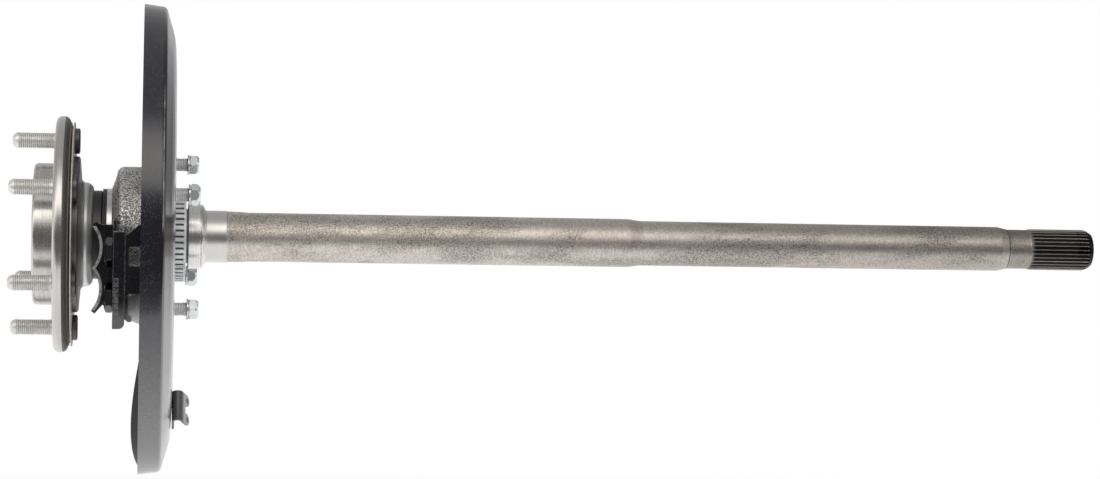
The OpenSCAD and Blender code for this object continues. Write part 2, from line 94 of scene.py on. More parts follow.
PILOT_LENGTH = 0.0159
FLANGE_FACE = start_of("axle_shaft") + PILOT_LENGTH
FLANGE_BACK = start_of("deflector_gasket")
HUB_END = FLANGE_BACK + 0.0175
SEAT_END = HUB_END + 0.0064
GROUND_END = end_of("bearing_retainer") + 0.0165
SHAFT_END = end_of("axle_shaft")
NECK_START = SHAFT_END - 0.0675
STUD_SEAT = end_of("oil_deflector")
WASHER = start_of("spring_washers")
TONE_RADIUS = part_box("tone_ring")[1][2]
PAST_ALL = SHAFT_END + 0.1
CASE_CIRCLE = 0.1245
CASE_FIRST = 60.0


class Body(str, Enum):
    """The bodies that the new pieces ride on."""

    AXLE = "axle"
    CARRIER = "carrier"


class Effect(str, Enum):
    """The shader node groups that more than one finish may use."""

    BAND = "Band Along Axle"
    LATHE = "Lathe Marks"
    SCALE = "Scale Patches"
    SKIN = "Cast Skin"
    DUST = "Dust Specks"
    EDGE_WEAR_AND_HIGHLIGHT = "Edge Wear And Highlight"
    SMEAR = "Handling Smears"


class Zone(str, Enum):
    """The stretches of the axle that differ in finish."""

    EDGE = "back edge of the flange"
    BOSS = "forged boss"
    SEAT = "seat of the seal"
    JOURNAL = "ground journal"
    SHAFT = "scaled shaft"
    # painted shadow: the dark line where the shaft's cone meets the neck
    RING = "line before the neck"
    NECK = "neck"
    SPLINE = "spline"


AXLE_ZONES: dict[Zone, tuple[float, float, float]] = {  # start, end and softness of the ends
    Zone.EDGE: (FLANGE_BACK - 0.0038, FLANGE_BACK + SKIM, 0.0002),
    Zone.BOSS: (FLANGE_BACK + SKIM, HUB_END, 0.0006),
    Zone.SEAT: (HUB_END, SEAT_END, 0.0006),
    Zone.JOURNAL: (start_of("bearing_retainer") - SKIM, GROUND_END, 0.0004),
    Zone.SHAFT: (GROUND_END, SHAFT_END - 0.0127, 0.003),
    Zone.RING: (NECK_START - 0.001, NECK_START, 0.0005),
    Zone.NECK: (NECK_START, NECK_START + 0.0188, 0.002),
    Zone.SPLINE: (NECK_START + 0.0183, PAST_ALL, 0.004),
}


class Graph:
    """One node tree, with short ways to add nodes, join sockets and do sums."""

    def __init__(self, tree: bpy.types.NodeTree) -> None:
        """Keep the tree."""
        self.tree = tree

    def add(self, kind: str, **settings: Any) -> bpy.types.Node:
        """Add a node.

        Args:
            kind: Blender's name of the node type.
            settings: Properties of the node.

        Returns:
            The new node.
        """
        node = self.tree.nodes.new(kind)
        for key, value in settings.items():
            setattr(node, key, value)
        return node

    def join(self, value: Input, socket: Socket) -> None:
        """Link a socket to an input, or write a plain value on it.

        Args:
            value: An output socket, a number or a vector.
            socket: The input that takes it.
        """
        if isinstance(value, bpy.types.NodeSocket):
            self.tree.links.new(value, socket)
        elif isinstance(value, (int, float)):
            socket.default_value = value
        else:
            wide = len(socket.default_value)
            socket.default_value = (tuple(value) + (1.0,))[:wide]

    def maths(self, how: str, first: Input, *others: Input) -> Socket:
        """Do one kind of sum over values, in order.

        Args:
            how: Blender's name of the operation.
            first: First value.
            others: The values that follow it, if the sum takes more than one.

        Returns:
            The result.
        """
        for other in others or (0.0,):
            node = self.add("ShaderNodeMath", operation=how)
            self.join(first, node.inputs[0])
            self.join(other, node.inputs[1])
            first = node.outputs[0]
        return first

    def times(self, *values: Input) -> Socket:
        """Multiply values."""
        return self.maths("MULTIPLY", *values)

    def plus(self, *values: Input) -> Socket:
        """Add values."""
        return self.maths("ADD", *values)

    def minus(self, first: Input, second: Input) -> Socket:
        """Take the second value from the first."""
        return self.maths("SUBTRACT", first, second)

    def most(self, *values: Input) -> Socket:
        """Give the greatest value."""
        return self.maths("MAXIMUM", *values)

    def blend(self, share: Input, a: Input, b: Input) -> Socket:
        """Mix two colours.

        Args:
            share: How much of the second colour.
            a: First colour.
            b: Second colour.

        Returns:
            The mixed colour.
        """
        node = self.add("ShaderNodeMix", data_type="RGBA", blend_type="MIX")
        for value, place in ((share, 0), (a, 6), (b, 7)):
            self.join(value, node.inputs[place])
        return node.outputs[2]

    def fade(self, value: Input, low: Input, high: Input, start: Input = 0.0, end: Input = 1.0) -> Socket:
        """Ease a value from one range to another.

        Args:
            value: The value.
            low: Where the result is start.
            high: Where the result is end.
            start: Result at low.
            end: Result at high.

        Returns:
            The eased value.
        """
        node = self.add("ShaderNodeMapRange", interpolation_type="SMOOTHSTEP")
        for item, socket in zip((value, low, high, start, end), node.inputs):
            self.join(item, socket)
        return node.outputs[0]

    def step(self, value: Input, place: float, half: float, start: Input = 0.0, end: Input = 1.0) -> Socket:
        """Ease a value over a short way on both sides of a place; see fade."""
        return self.fade(value, place - half, place + half, start, end)

    def noise(self, where: Input, scale: Input, detail: float = 3.0, rough: float = 0.55,
              twist: float = 0.0) -> Socket:
        """Add a noise.

        Args:
            where: Coordinates.
            scale: Cells in a metre.
            detail: Octaves.
            rough: Weight of the fine octaves.
            twist: Distortion.

        Returns:
            The noise value.
        """
        node = self.add("ShaderNodeTexNoise")
        for key, value in (("Vector", where), ("Scale", scale), ("Detail", detail), ("Roughness", rough),
                           ("Distortion", twist)):
            self.join(value, node.inputs[key])
        return node.outputs[0]

    def split(self, where: Input) -> tuple[Socket, Socket, Socket]:
        """Take coordinates apart.

        Args:
            where: Coordinates.

        Returns:
            X, Y and Z.
        """
        node = self.add("ShaderNodeSeparateXYZ")
        self.join(where, node.inputs[0])
        return tuple(node.outputs)

    def reach(self, y: Input, z: Input) -> Socket:
        """Give the distance from the axle's line."""
        return self.maths("SQRT", self.plus(self.times(y, y), self.times(z, z)))

    def stretch(self, where: Input, scale: Sequence[float]) -> Socket:
        """Scale coordinates along each axis.

        Args:
            where: Coordinates.
            scale: Factors for X, Y and Z.

        Returns:
            The scaled coordinates.
        """
        node = self.add("ShaderNodeVectorMath", operation="MULTIPLY")
        self.join(where, node.inputs[0])
        self.join(scale, node.inputs[1])
        return node.outputs[0]

    def dim(self, colour: Input, factor: Input) -> Socket:
        """Scale a colour.

        Args:
            colour: The colour.
            factor: How much of it is left.

        Returns:
            The scaled colour.
        """
        node = self.add("ShaderNodeVectorMath", operation="SCALE")
        self.join(colour, node.inputs[0])
        self.join(factor, node.inputs["Scale"])
        return node.outputs[0]

    def tint(self, value: Input, stops: Sequence[tuple[float, Colour]]) -> Socket:
        """Turn a value into a colour.

        Args:
            value: A value from 0 to 1.
            stops: Places and colours, in order.

        Returns:
            The colour.
        """
        node = self.add("ShaderNodeValToRGB")
        ramp = node.color_ramp
        while len(ramp.elements) < len(stops):
            ramp.elements.new(0.5)
        for element, (place, colour) in zip(ramp.elements, stops):
            element.position = place
            element.color = (*colour, 1.0)
        self.join(value, node.inputs[0])
        return node.outputs[0]

    def effect(self, which: Effect, **inputs: Input) -> Any:
        """Place a shared effect.

        Args:
            which: The effect.
            inputs: Its inputs by name.

        Returns:
            The outputs of the group node.
        """
        node = self.add("ShaderNodeGroup", node_tree=EffectLibrary.get(which))
        for key, value in inputs.items():
            self.join(value, node.inputs[key])
        return node.outputs

    def band(self, where: Input, start: float, end: float, soft: float) -> Socket:
        """Give the mask between two places along the axle."""
        return self.effect(Effect.BAND, Vector=where, From=start, To=end, Soft=soft)["Mask"]

    def smear(self, where: Input, scale: float) -> Socket:
        """Give the slow change of sheen that handling leaves."""
        return self.effect(Effect.SMEAR, Vector=where, Scale=scale)["Value"]


class EffectLibrary:
    """Builds each shared effect once, the first time that a finish asks for it."""

    made: dict[Effect, bpy.types.NodeTree] = {}

    @classmethod
    def get(cls, which: Effect) -> bpy.types.NodeTree:
        """Give the node group of an effect, and build it if it is new.

        Args:
            which: The effect.

        Returns:
            Its node group.
        """
        if which not in cls.made:
            makers: dict[Effect, Callable[[bpy.types.NodeTree], None]] = {
                Effect.BAND: cls.band, Effect.LATHE: cls.lathe, Effect.SCALE: cls.scale,
                Effect.SKIN: cls.skin, Effect.DUST: cls.dust, Effect.EDGE_WEAR_AND_HIGHLIGHT: cls.edge_wear_and_highlight,
                Effect.SMEAR: cls.smear}
            tree = bpy.data.node_groups.new(which.value, "ShaderNodeTree")
            makers[which](tree)
            cls.made[which] = tree
        return cls.made[which]

    @staticmethod
    def doors(tree: bpy.types.NodeTree, inputs: dict[str, float],
              outputs: Sequence[str]) -> tuple[Graph, Any, Any]:
        """Give a group its sockets.

        Args:
            tree: The group.
            inputs: Names and first values of the number inputs.
            outputs: Names of the outputs.

        Returns:
            The graph, the input node's sockets and the output node's sockets.
        """
        face = tree.interface
        face.new_socket(name="Vector", in_out="INPUT", socket_type="NodeSocketVector")
        for key, value in inputs.items():
            face.new_socket(name=key, in_out="INPUT", socket_type="NodeSocketFloat").default_value = value
        for key in outputs:
            face.new_socket(name=key, in_out="OUTPUT", socket_type="NodeSocketFloat")
        graph = Graph(tree)
        return graph, graph.add("NodeGroupInput").outputs, graph.add("NodeGroupOutput").inputs

    @classmethod
    def band(cls, tree: bpy.types.NodeTree) -> None:
        """Build a mask between two places along the axle, with soft ends.

        Args:
            tree: The new group.
        """
        g, have, give = cls.doors(tree, {"From": 0.0, "To": 0.1, "Soft": 0.001}, ["Mask"])
        x = g.split(have["Vector"])[0]
        half = g.times(have["Soft"], 0.5)
        rise = g.fade(x, g.minus(have["From"], half), g.plus(have["From"], half))
        fall = g.fade(x, g.minus(have["To"], half), g.plus(have["To"], half), 1.0, 0.0)
        g.join(g.times(rise, fall), give["Mask"])

    @classmethod
    def lathe(cls, tree: bpy.types.NodeTree) -> None:
        """Build fine lines round the axle, on cylinders and on faces alike.

        Args:
            tree: The new group.
        """
        g, have, give = cls.doors(tree, {"Lines": 2500.0, "Streak": 1.5}, ["Line", "Drift"])
        x, y, z = g.split(have["Vector"])
        r = g.reach(y, z)
        safe = g.most(r, 1e-4)
        turn_y, turn_z = (g.times(g.maths("DIVIDE", part, safe), have["Streak"]) for part in (y, z))
        where = g.add("ShaderNodeCombineXYZ")
        fine_x, fine_r = (g.times(part, have["Lines"]) for part in (x, r))
        for value, socket in zip((fine_x, fine_r, turn_y), where.inputs):
            g.join(value, socket)
        noises = []
        for scale, detail in ((1.0, 3.0), (0.11, 2.0)):  # the fine lines, then their slow drift
            noise = g.add("ShaderNodeTexNoise", noise_dimensions="4D")
            settings = (("Vector", where.outputs[0]), ("W", turn_z), ("Scale", scale), ("Detail", detail))
            for key, value in settings:
                g.join(value, noise.inputs[key])
            noises.append(noise.outputs[0])
        g.join(g.fade(noises[0], 0.3, 0.7), give["Line"])
        g.join(noises[1], give["Drift"])

    @classmethod
    def scale(cls, tree: bpy.types.NodeTree) -> None:
        """Build dull patches of rolling scale, and a fine crackle that is dense inside them.

        Args:
            tree: The new group.
        """
        inputs, outputs = {"Size": 60.0, "Cover": 0.5, "Grain": 900.0}, ["Patch", "Fleck", "Glint"]
        g, have, give = cls.doors(tree, inputs, outputs)
        long = g.stretch(have["Vector"], (0.4, 1.0, 1.0))
        large = g.noise(long, have["Size"], detail=4.0, rough=0.6, twist=0.3)
        edge, half = g.minus(1.0, have["Cover"]), 0.12
        patch = g.fade(large, g.minus(edge, half), g.plus(edge, half))
        short = g.stretch(have["Vector"], (0.75, 1.0, 1.0))
        small = g.noise(short, have["Grain"], detail=2.0, rough=0.6, twist=0.8)
        dense = g.fade(patch, 0.0, 1.0, 0.42, 0.95)
        g.join(patch, give["Patch"])
        g.join(g.times(g.fade(small, 0.46, 0.60), dense), give["Fleck"])
        g.join(g.fade(small, 0.50, 0.34), give["Glint"])

    @classmethod
    def skin(cls, tree: bpy.types.NodeTree) -> None:
        """Build the leathery skin of a sand casting.

        Args:
            tree: The new group.
        """
        g, have, give = cls.doors(tree, {"Grain": 620.0}, ["Height", "Shade"])
        worm = g.fade(g.noise(have["Vector"], have["Grain"], detail=1.0, rough=0.5, twist=0.6), 0.40, 0.60)
        broad = g.noise(have["Vector"], g.times(have["Grain"], 0.16))
        for key, fine, wide in (("Height", 0.8, 0.5), ("Shade", 0.7, 0.3)):
            g.join(g.plus(g.times(worm, fine), g.times(broad, wide)), give[key])

    @classmethod
    def dust(cls, tree: bpy.types.NodeTree) -> None:
        """Build pale specks in loose swarms.

        Args:
            tree: The new group.
        """
        g, have, give = cls.doors(tree, {"Scale": 700.0, "Amount": 0.4}, ["Mask"])
        cells = g.add("ShaderNodeTexVoronoi")
        g.join(have["Vector"], cells.inputs["Vector"])
        g.join(have["Scale"], cells.inputs["Scale"])
        spot = g.fade(cells.outputs["Distance"], 0.12, 0.34, 1.0, 0.0)
        pick = g.noise(have["Vector"], g.times(have["Scale"], 0.37), detail=2.0)
        swarm = g.noise(have["Vector"], g.times(have["Scale"], 0.05))
        some = g.fade(g.times(g.plus(pick, swarm), 0.5), 0.46, 0.6)
        g.join(g.times(spot, some, have["Amount"]), give["Mask"])

    @classmethod
    def edge_wear_and_highlight(cls, tree: bpy.types.NodeTree) -> None:
        """Build a broken mask along edges, for rubbed metal that also paints edge highlights.

        Args:
            tree: The new group.
        """
        g, have, give = cls.doors(tree, {"Radius": 0.0008, "Scale": 500.0}, ["Mask"])
        soft = g.add("ShaderNodeBevel", samples=4)
        g.join(have["Radius"], soft.inputs["Radius"])
        dot = g.add("ShaderNodeVectorMath", operation="DOT_PRODUCT")
        g.join(soft.outputs[0], dot.inputs[0])
        g.join(g.add("ShaderNodeNewGeometry").outputs["Normal"], dot.inputs[1])
        edge = g.fade(g.minus(1.0, dot.outputs["Value"]), 0.02, 0.22)
        breakup = g.fade(g.noise(have["Vector"], have["Scale"]), 0.3, 0.62)
        g.join(g.times(edge, breakup), give["Mask"])

    @classmethod
    def smear(cls, tree: bpy.types.NodeTree) -> None:
        """Build slow changes of sheen, as hands and oil leave them.

        Args:
            tree: The new group.
        """
        g, have, give = cls.doors(tree, {"Scale": 40.0}, ["Value"])
        wide = g.noise(have["Vector"], have["Scale"], detail=4.0, rough=0.6, twist=0.5)
        g.join(g.fade(wide, 0.3, 0.7), give["Value"])


@dataclass(frozen=True)
class Finish:
    """A surface finish: a Principled shader and what varies over it."""

    name: str
    slot: str
    colour: Colour = (0.5, 0.5, 0.5)
    rough: float = 0.4
    metal: float = 1.0
    ior: float = 1.5
    bump: float = 0.0
    round_edge: float = 0.0

    def make(self) -> bpy.types.Material:
        """Build the material.

        Returns:
            The material, ready for use.
        """
        material, graph = blank(self.name)
        shader = graph.add("ShaderNodeBsdfPrincipled")
        graph.join(shader.outputs[0], graph.add("ShaderNodeOutputMaterial").inputs[0])
        for key, value in (("Base Color", self.colour), ("Roughness", self.rough), ("Metallic", self.metal),
                           ("IOR", self.ior)):
            graph.join(value, shader.inputs[key])
        where = graph.add("ShaderNodeTexCoord").outputs["Object"]
        self.relief(graph, shader, self.paint(graph, shader, where))
        material.diffuse_color = (*self.colour, 1.0)
        return material

    def relief(self, graph: Graph, shader: bpy.types.Node, height: Optional[Socket]) -> None:
        """Give the shader its bump and its soft edges.

        Args:
            graph: The material's graph.
            shader: The Principled node.
            height: The height field, if there is one.
        """
        normal: Optional[Socket] = None
        if self.round_edge:
            soft = graph.add("ShaderNodeBevel", samples=6)
            soft.inputs["Radius"].default_value = self.round_edge
            normal = soft.outputs[0]
        if height is not None and self.bump:
            bump = graph.add("ShaderNodeBump")
            bump.inputs["Strength"].default_value = 1.0
            bump.inputs["Distance"].default_value = self.bump
            graph.join(height, bump.inputs["Height"])
            if normal is not None:
                graph.join(normal, bump.inputs["Normal"])
            normal = bump.outputs[0]
        if normal is not None:
            graph.join(normal, shader.inputs["Normal"])

    def paint(self, graph: Graph, shader: bpy.types.Node, where: Socket) -> Optional[Socket]:
        """Wire what varies over the surface; each kind of finish has its own way.

        Args:
            graph: The material's graph.
            shader: The Principled node.
            where: Object coordinates.

        Returns:
            The height field for the bump, if there is one.
        """
        raise NotImplementedError(self.name)

    def zones(self, graph: Graph, where: Socket, colour: Socket) -> Socket:
        """Give the colour over the zones of a piece, which a plain finish hasn't; see paint."""
        return colour

    def sheen(self, graph: Graph, value: Socket, low: float, high: float) -> Socket:
        """Ease the finish's roughness between two shares of it, by a value from 0 to 1."""
        return graph.fade(value, 0.0, 1.0, self.rough * low, self.rough * high)


@dataclass(frozen=True)
class TurnedSteel(Finish):
    """Steel off a lathe or a grinder, with fine lines round the axle."""

    lines: float = 2600.0
    contrast: float = 0.12
    line_share: float = 0.55

    def paint(self, graph: Graph, shader: bpy.types.Node, where: Socket) -> Optional[Socket]:
        """Wire the lathe lines into colour, sheen and height.

        Args:
            graph: The material's graph.
            shader: The Principled node.
            where: Object coordinates.

        Returns:
            The height field for the bump.
        """
        marks = graph.effect(Effect.LATHE, Vector=where, Lines=self.lines, Streak=1.2)
        smear = graph.smear(where, 70.0)
        level = graph.plus(graph.times(marks["Line"], self.line_share),
                           graph.times(marks["Drift"], 1.0 - self.line_share))
        dark, light = shade(self.colour, 1.0 - self.contrast * 2.0), shade(self.colour, 1.0 + self.contrast)
        graph.join(graph.tint(level, [(0.2, dark), (0.8, light)]), shader.inputs["Base Color"])
        graph.join(self.sheen(graph, smear, 0.85, 1.15), shader.inputs["Roughness"])
        return marks["Line"]


@dataclass(frozen=True)
class AxleSteel(Finish):
    """The axle's own finishes along its length: turned, forged, ground, scaled and black, with painted shade
    by the hub, in the spline's valleys and in a line before the neck, and a painted lit underside on the
    boss.
    """

    bright: Colour = (0.68, 0.66, 0.635)
    ground: Colour = (0.77, 0.755, 0.735)
    scaled: Colour = (0.74, 0.68, 0.625)
    scale_dark: Colour = (0.14, 0.125, 0.112)
    forged: Colour = (0.95, 0.95, 0.945)
    flange_back: Colour = (0.165, 0.16, 0.155)
    black: Colour = (0.085, 0.085, 0.09)
    # painted shade: near black for the spline's valleys, against its grey crests
    groove: Colour = (0.012, 0.0115, 0.011)
    crest: Colour = (0.40, 0.37, 0.34)
    crest_radii: Span = (0.0149, 0.0157)
    endward_dim_from: float = 0.05
    endward_dim_to: float = 0.66
    # Painted shade: the boss is dimmed next to the flange's back, and on its upper side so that its underside
    # looks lit from below.
    painted_hub_shade: Span = (FLANGE_BACK + 0.005, FLANGE_BACK + 0.0115)
    painted_underside_light: Span = (-0.022, -0.010)
    rough_span: Span = (0.22, 0.30)

    def paint(self, graph: Graph, shader: bpy.types.Node, where: Socket) -> Optional[Socket]:
        """Wire the zones along the axle.

        Args:
            graph: The material's graph.
            shader: The Principled node.
            where: Object coordinates.

        Returns:
            The height field for the bump.
        """
        masks = {zone: graph.band(where, *span) for zone, span in AXLE_ZONES.items()}
        marks = graph.effect(Effect.LATHE, Vector=where, Lines=2300.0, Streak=1.2)
        patches = graph.effect(Effect.SCALE, Vector=where, Size=36.0, Cover=0.48, Grain=1250.0)
        strokes = graph.noise(graph.stretch(where, (1.0, 0.3, 0.3)), 900.0, detail=2.0, rough=0.6)
        x, y, z = graph.split(where)
        shaft, boss = masks[Zone.SHAFT], masks[Zone.BOSS]

        level = graph.plus(graph.times(marks["Line"], 0.5), graph.times(marks["Drift"], 0.5))
        turned = graph.tint(level, [(0.2, shade(self.bright, 0.8)), (0.8, shade(self.bright, 1.1))])
        # painted shade on the boss: darker by the flange's back and on its upper side, lighter underneath
        painted_hub_shade = graph.times(graph.fade(x, *self.painted_hub_shade, 0.25, 1.0), graph.fade(z, *self.painted_underside_light, 1.0, 0.76))
        # painted shade in the spline's valleys, by the distance from the axle's line
        spline = graph.blend(graph.fade(graph.reach(y, z), *self.crest_radii), self.groove, self.crest)
        colour: Input = turned
        for mask, share, over in ((masks[Zone.JOURNAL], 0.85, self.ground),
                                  (shaft, 1.0, self.rolled(graph, x, masks[Zone.NECK], patches, strokes)),
                                  # painted shadow line before the neck
                                  (masks[Zone.RING], 0.8, self.black),
                                  (masks[Zone.EDGE], 1.0, self.flange_back),
                                  (boss, 1.0, graph.dim(self.forged, painted_hub_shade)),
                                  (masks[Zone.SEAT], 1.0, self.black),
                                  (masks[Zone.SPLINE], 1.0, spline)):
            colour = graph.blend(graph.times(mask, share), colour, over)
        graph.join(colour, shader.inputs["Base Color"])

        more = ((shaft, 0.065), (masks[Zone.JOURNAL], 0.06), (masks[Zone.SEAT], 0.2),
                (masks[Zone.EDGE], 0.22), (boss, 0.12), (graph.times(patches["Patch"], shaft), 0.04))
        rough = graph.fade(graph.smear(where, 55.0), 0.0, 1.0, *self.rough_span)
        rough = graph.plus(rough, *(graph.times(mask, amount) for mask, amount in more))
        graph.join(rough, shader.inputs["Roughness"])
        dull = graph.plus(*(graph.times(mask, amount) for mask, amount in
                            ((masks[Zone.EDGE], 0.55), (boss, 0.3), (shaft, 0.14))))
        graph.join(graph.minus(1.0, dull), shader.inputs["Metallic"])

        plain = graph.most(shaft, masks[Zone.JOURNAL], boss, masks[Zone.SPLINE])
        lines = graph.times(marks["Line"], graph.fade(plain, 0.0, 1.0, 0.42, 0.0))
        raised = graph.plus(graph.times(patches["Glint"], 0.5), graph.times(strokes, 0.7))
        return graph.plus(lines, graph.times(graph.minus(raised, patches["Fleck"]), shaft))

    def rolled(self, graph: Graph, x: Socket, neck: Socket, patches: Any, strokes: Socket) -> Socket:
        """Give the colour of the scaled shaft, duller on its neck and towards its end.

        Args:
            graph: The material's graph.
            x: Place along the axle.
            neck: Mask of the neck.
            patches: Outputs of the scale effect.
            strokes: Noise of short strokes round the shaft.

        Returns:
            The colour.
        """
        dull = graph.plus(graph.times(patches["Patch"], 0.22), graph.times(neck, 0.33))
        colour = graph.blend(dull, self.scaled, self.scale_dark)
        colour = graph.blend(graph.times(patches["Fleck"], 0.82), colour, self.scale_dark)
        # darker towards the shaft's end
        endward_dim = graph.fade(x, self.endward_dim_from, self.endward_dim_to, 1.06, 0.76)
        return graph.dim(colour, graph.times(endward_dim, graph.fade(strokes, 0.32, 0.68, 0.90, 1.10)))


@dataclass(frozen=True)
class CastSkin(Finish):
    """Sand-cast iron with a coarse leathery skin."""

    grain: float = 620.0
    dark: Colour = (0.16, 0.155, 0.148)

    def paint(self, graph: Graph, shader: bpy.types.Node, where: Socket) -> Optional[Socket]:
        """Wire the casting's skin.

        Args:
            graph: The material's graph.
            shader: The Principled node.
            where: Object coordinates.

        Returns:
            The height field for the bump.
        """
        skin = graph.effect(Effect.SKIN, Vector=where, Grain=self.grain)
        stops = [(0.15, self.dark), (0.85, self.colour)]
        graph.join(graph.tint(skin["Shade"], stops), shader.inputs["Base Color"])
        graph.join(self.sheen(graph, skin["Shade"], 1.2, 0.8), shader.inputs["Roughness"])
        return skin["Height"]


@dataclass(frozen=True)
class Plated(Finish):
    """Plating or drawn steel, a little cloudy."""

    dull: float = 0.85

    def paint(self, graph: Graph, shader: bpy.types.Node, where: Socket) -> Optional[Socket]:
        """Wire the cloudy plating.

        Args:
            graph: The material's graph.
            shader: The Principled node.
            where: Object coordinates.

        Returns:
            The height field for the bump.
        """
        cloud = graph.smear(where, 160.0)
        colour = graph.blend(cloud, shade(self.colour, self.dull), self.colour)
        graph.join(self.zones(graph, where, colour), shader.inputs["Base Color"])
        graph.join(self.sheen(graph, cloud, 1.25, 0.8), shader.inputs["Roughness"])
        return cloud


@dataclass(frozen=True)
class ZonedPlate(Plated):
    """Plating with painted shade: a stretch along the axle left dark, a dark floor below a radius, or darker
    valleys in a thread.
    """

    stretch: Optional[Span] = None
    floor_radius: float = 0.0
    floor_soft: float = 0.0003
    thread_shade: float = 0.0
    dark: Colour = (0.16, 0.155, 0.15)

    def zones(self, graph: Graph, where: Socket, colour: Socket) -> Socket:
        """Paint shade into the thread's valleys, the stretch and the floor.

        Args:
            graph: The material's graph.
            where: Object coordinates.
            colour: The colour so far.

        Returns:
            The colour with these zones.
        """
        # painted shade in the thread's valleys, by the thread's depth
        if self.thread_shade:
            thread = graph.add("ShaderNodeAttribute", attribute_name=THREAD).outputs["Fac"]
            colour = graph.blend(graph.times(thread, self.thread_shade), colour, self.dark)
        # painted shade over a stretch along the axle, such as stud heads or a groove between parts
        if self.stretch:
            colour = graph.blend(graph.band(where, *self.stretch, SKIM), colour, self.dark)
        # painted shade on a floor below a radius, such as the bottoms of slots
        if self.floor_radius:
            _, y, z = graph.split(where)
            deep = graph.step(graph.reach(y, z), self.floor_radius, self.floor_soft, 1.0, 0.0)
            colour = graph.blend(deep, colour, self.dark)
        return colour


@dataclass(frozen=True)
class BlackCoat(Finish):
    """Black paint or dip coat with dust, a lighter grey low down that is partly dust and partly painted
    reflection of the table, and bare metal where edges have rubbed, which also paints their highlights.
    """

    dust: float = 0.3
    speck: Colour = (0.36, 0.36, 0.37)
    worn_and_highlight: Colour = (0.62, 0.61, 0.60)
    edge_wear_and_highlight: float = 0.0
    edge_wear_and_highlight_radius: float = 0.0009
    dust_and_reflection: float = 0.0
    dust_and_reflection_from: float = -0.02
    dust_and_reflection_to: float = -0.17
    dust_and_reflection_colour: Colour = (0.21, 0.21, 0.215)
    peel: float = 180.0

    def paint(self, graph: Graph, shader: bpy.types.Node, where: Socket) -> Optional[Socket]:
        """Wire dust, the lighter grey low down, rubbed edges with painted highlights and the flow of the
        paint.

        Args:
            graph: The material's graph.
            shader: The Principled node.
            where: Object coordinates.

        Returns:
            The height field for the bump.
        """
        specks = graph.effect(Effect.DUST, Vector=where, Scale=1000.0, Amount=self.dust)["Mask"]
        colour = graph.blend(specks, self.colour, self.speck)
        # lighter grey low down: partly dust, partly painted reflection of the white table
        if self.dust_and_reflection:
            height = graph.split(where)[2]
            cloud = graph.fade(graph.noise(where, 420.0), 0.2, 0.8, 0.8, 1.15)
            mask = graph.times(graph.fade(height, self.dust_and_reflection_from, self.dust_and_reflection_to, 0.0, self.dust_and_reflection), cloud)
            colour = graph.blend(mask, colour, self.dust_and_reflection_colour)
        # rubbed bare metal on the edges, which also stands in for painted edge highlights
        if self.edge_wear_and_highlight:
            mask = graph.effect(Effect.EDGE_WEAR_AND_HIGHLIGHT, Vector=where, Radius=self.edge_wear_and_highlight_radius, Scale=420.0)["Mask"]
            mask = graph.times(mask, self.edge_wear_and_highlight)
            colour = graph.blend(mask, colour, self.worn_and_highlight)
            graph.join(graph.times(mask, 0.6), shader.inputs["Metallic"])
        graph.join(self.zones(graph, where, colour), shader.inputs["Base Color"])
        rough = self.sheen(graph, graph.smear(where, 26.0), 0.8, 1.25)
        graph.join(graph.plus(rough, graph.times(specks, 0.5)), shader.inputs["Roughness"])
        return graph.noise(where, self.peel, detail=2.0)


@dataclass(frozen=True)
class ShieldPaint(BlackCoat):
    """The shield's paint: painted shade at lip and shoulder, a painted highlight along the bead beside it,
    and a cone lighter low down with dust and painted reflection.
    """

    lip: Span = (-0.1, -0.0246)
    shoulder: Span = (-0.0074, -0.0050)
    bead_highlight: Span = (-0.0093, -0.0088)
    bead_highlight_low: float = 0.005
    bead_highlight_high: float = 0.105
    soft: float = 0.0004
    cone_dust_and_reflection: Colour = (0.36, 0.36, 0.365)
    cone_dust_and_reflection_to: float = -0.07

    def zones(self, graph: Graph, where: Socket, colour: Socket) -> Socket:
        """Paint shade on the lip and the shoulder, a highlight along the bead beside it, and a lighter grey
        low on the cone that is partly dust and partly painted reflection.

        Args:
            graph: The material's graph.
            where: Object coordinates.
            colour: The colour so far.

        Returns:
            The colour with these zones.
        """
        height = graph.split(where)[2]
        # painted shade: the lip and the shoulder go back almost to the plain black, without the lighter grey
        # or specks
        painted_dark_bands = graph.most(*(graph.band(where, *span, self.soft) for span in (self.lip, self.shoulder)))
        colour = graph.blend(graph.times(painted_dark_bands, 0.9), colour, self.colour)
        # painted highlight along the bead, on its upper part only, broken up by noise
        breakup = graph.fade(graph.noise(where, 90.0), 0.3, 0.7, 0.1, 0.8)
        bead_highlights = graph.times(graph.band(where, *self.bead_highlight, self.soft),
                            graph.step(height, self.bead_highlight_low, 0.004),
                            graph.step(height, self.bead_highlight_high, 0.01, 1.0, 0.0), breakup)
        colour = graph.blend(bead_highlights, colour, self.worn_and_highlight)
        # lighter grey low on the cone: partly dust, partly painted reflection of the table
        cone = graph.band(where, self.bead_highlight[1], PAST_ALL, self.soft)
        cone_dust_and_reflection_share = graph.times(cone, graph.fade(height, 0.0, self.cone_dust_and_reflection_to, 0.0, 0.55))
        return graph.blend(cone_dust_and_reflection_share, colour, self.cone_dust_and_reflection)


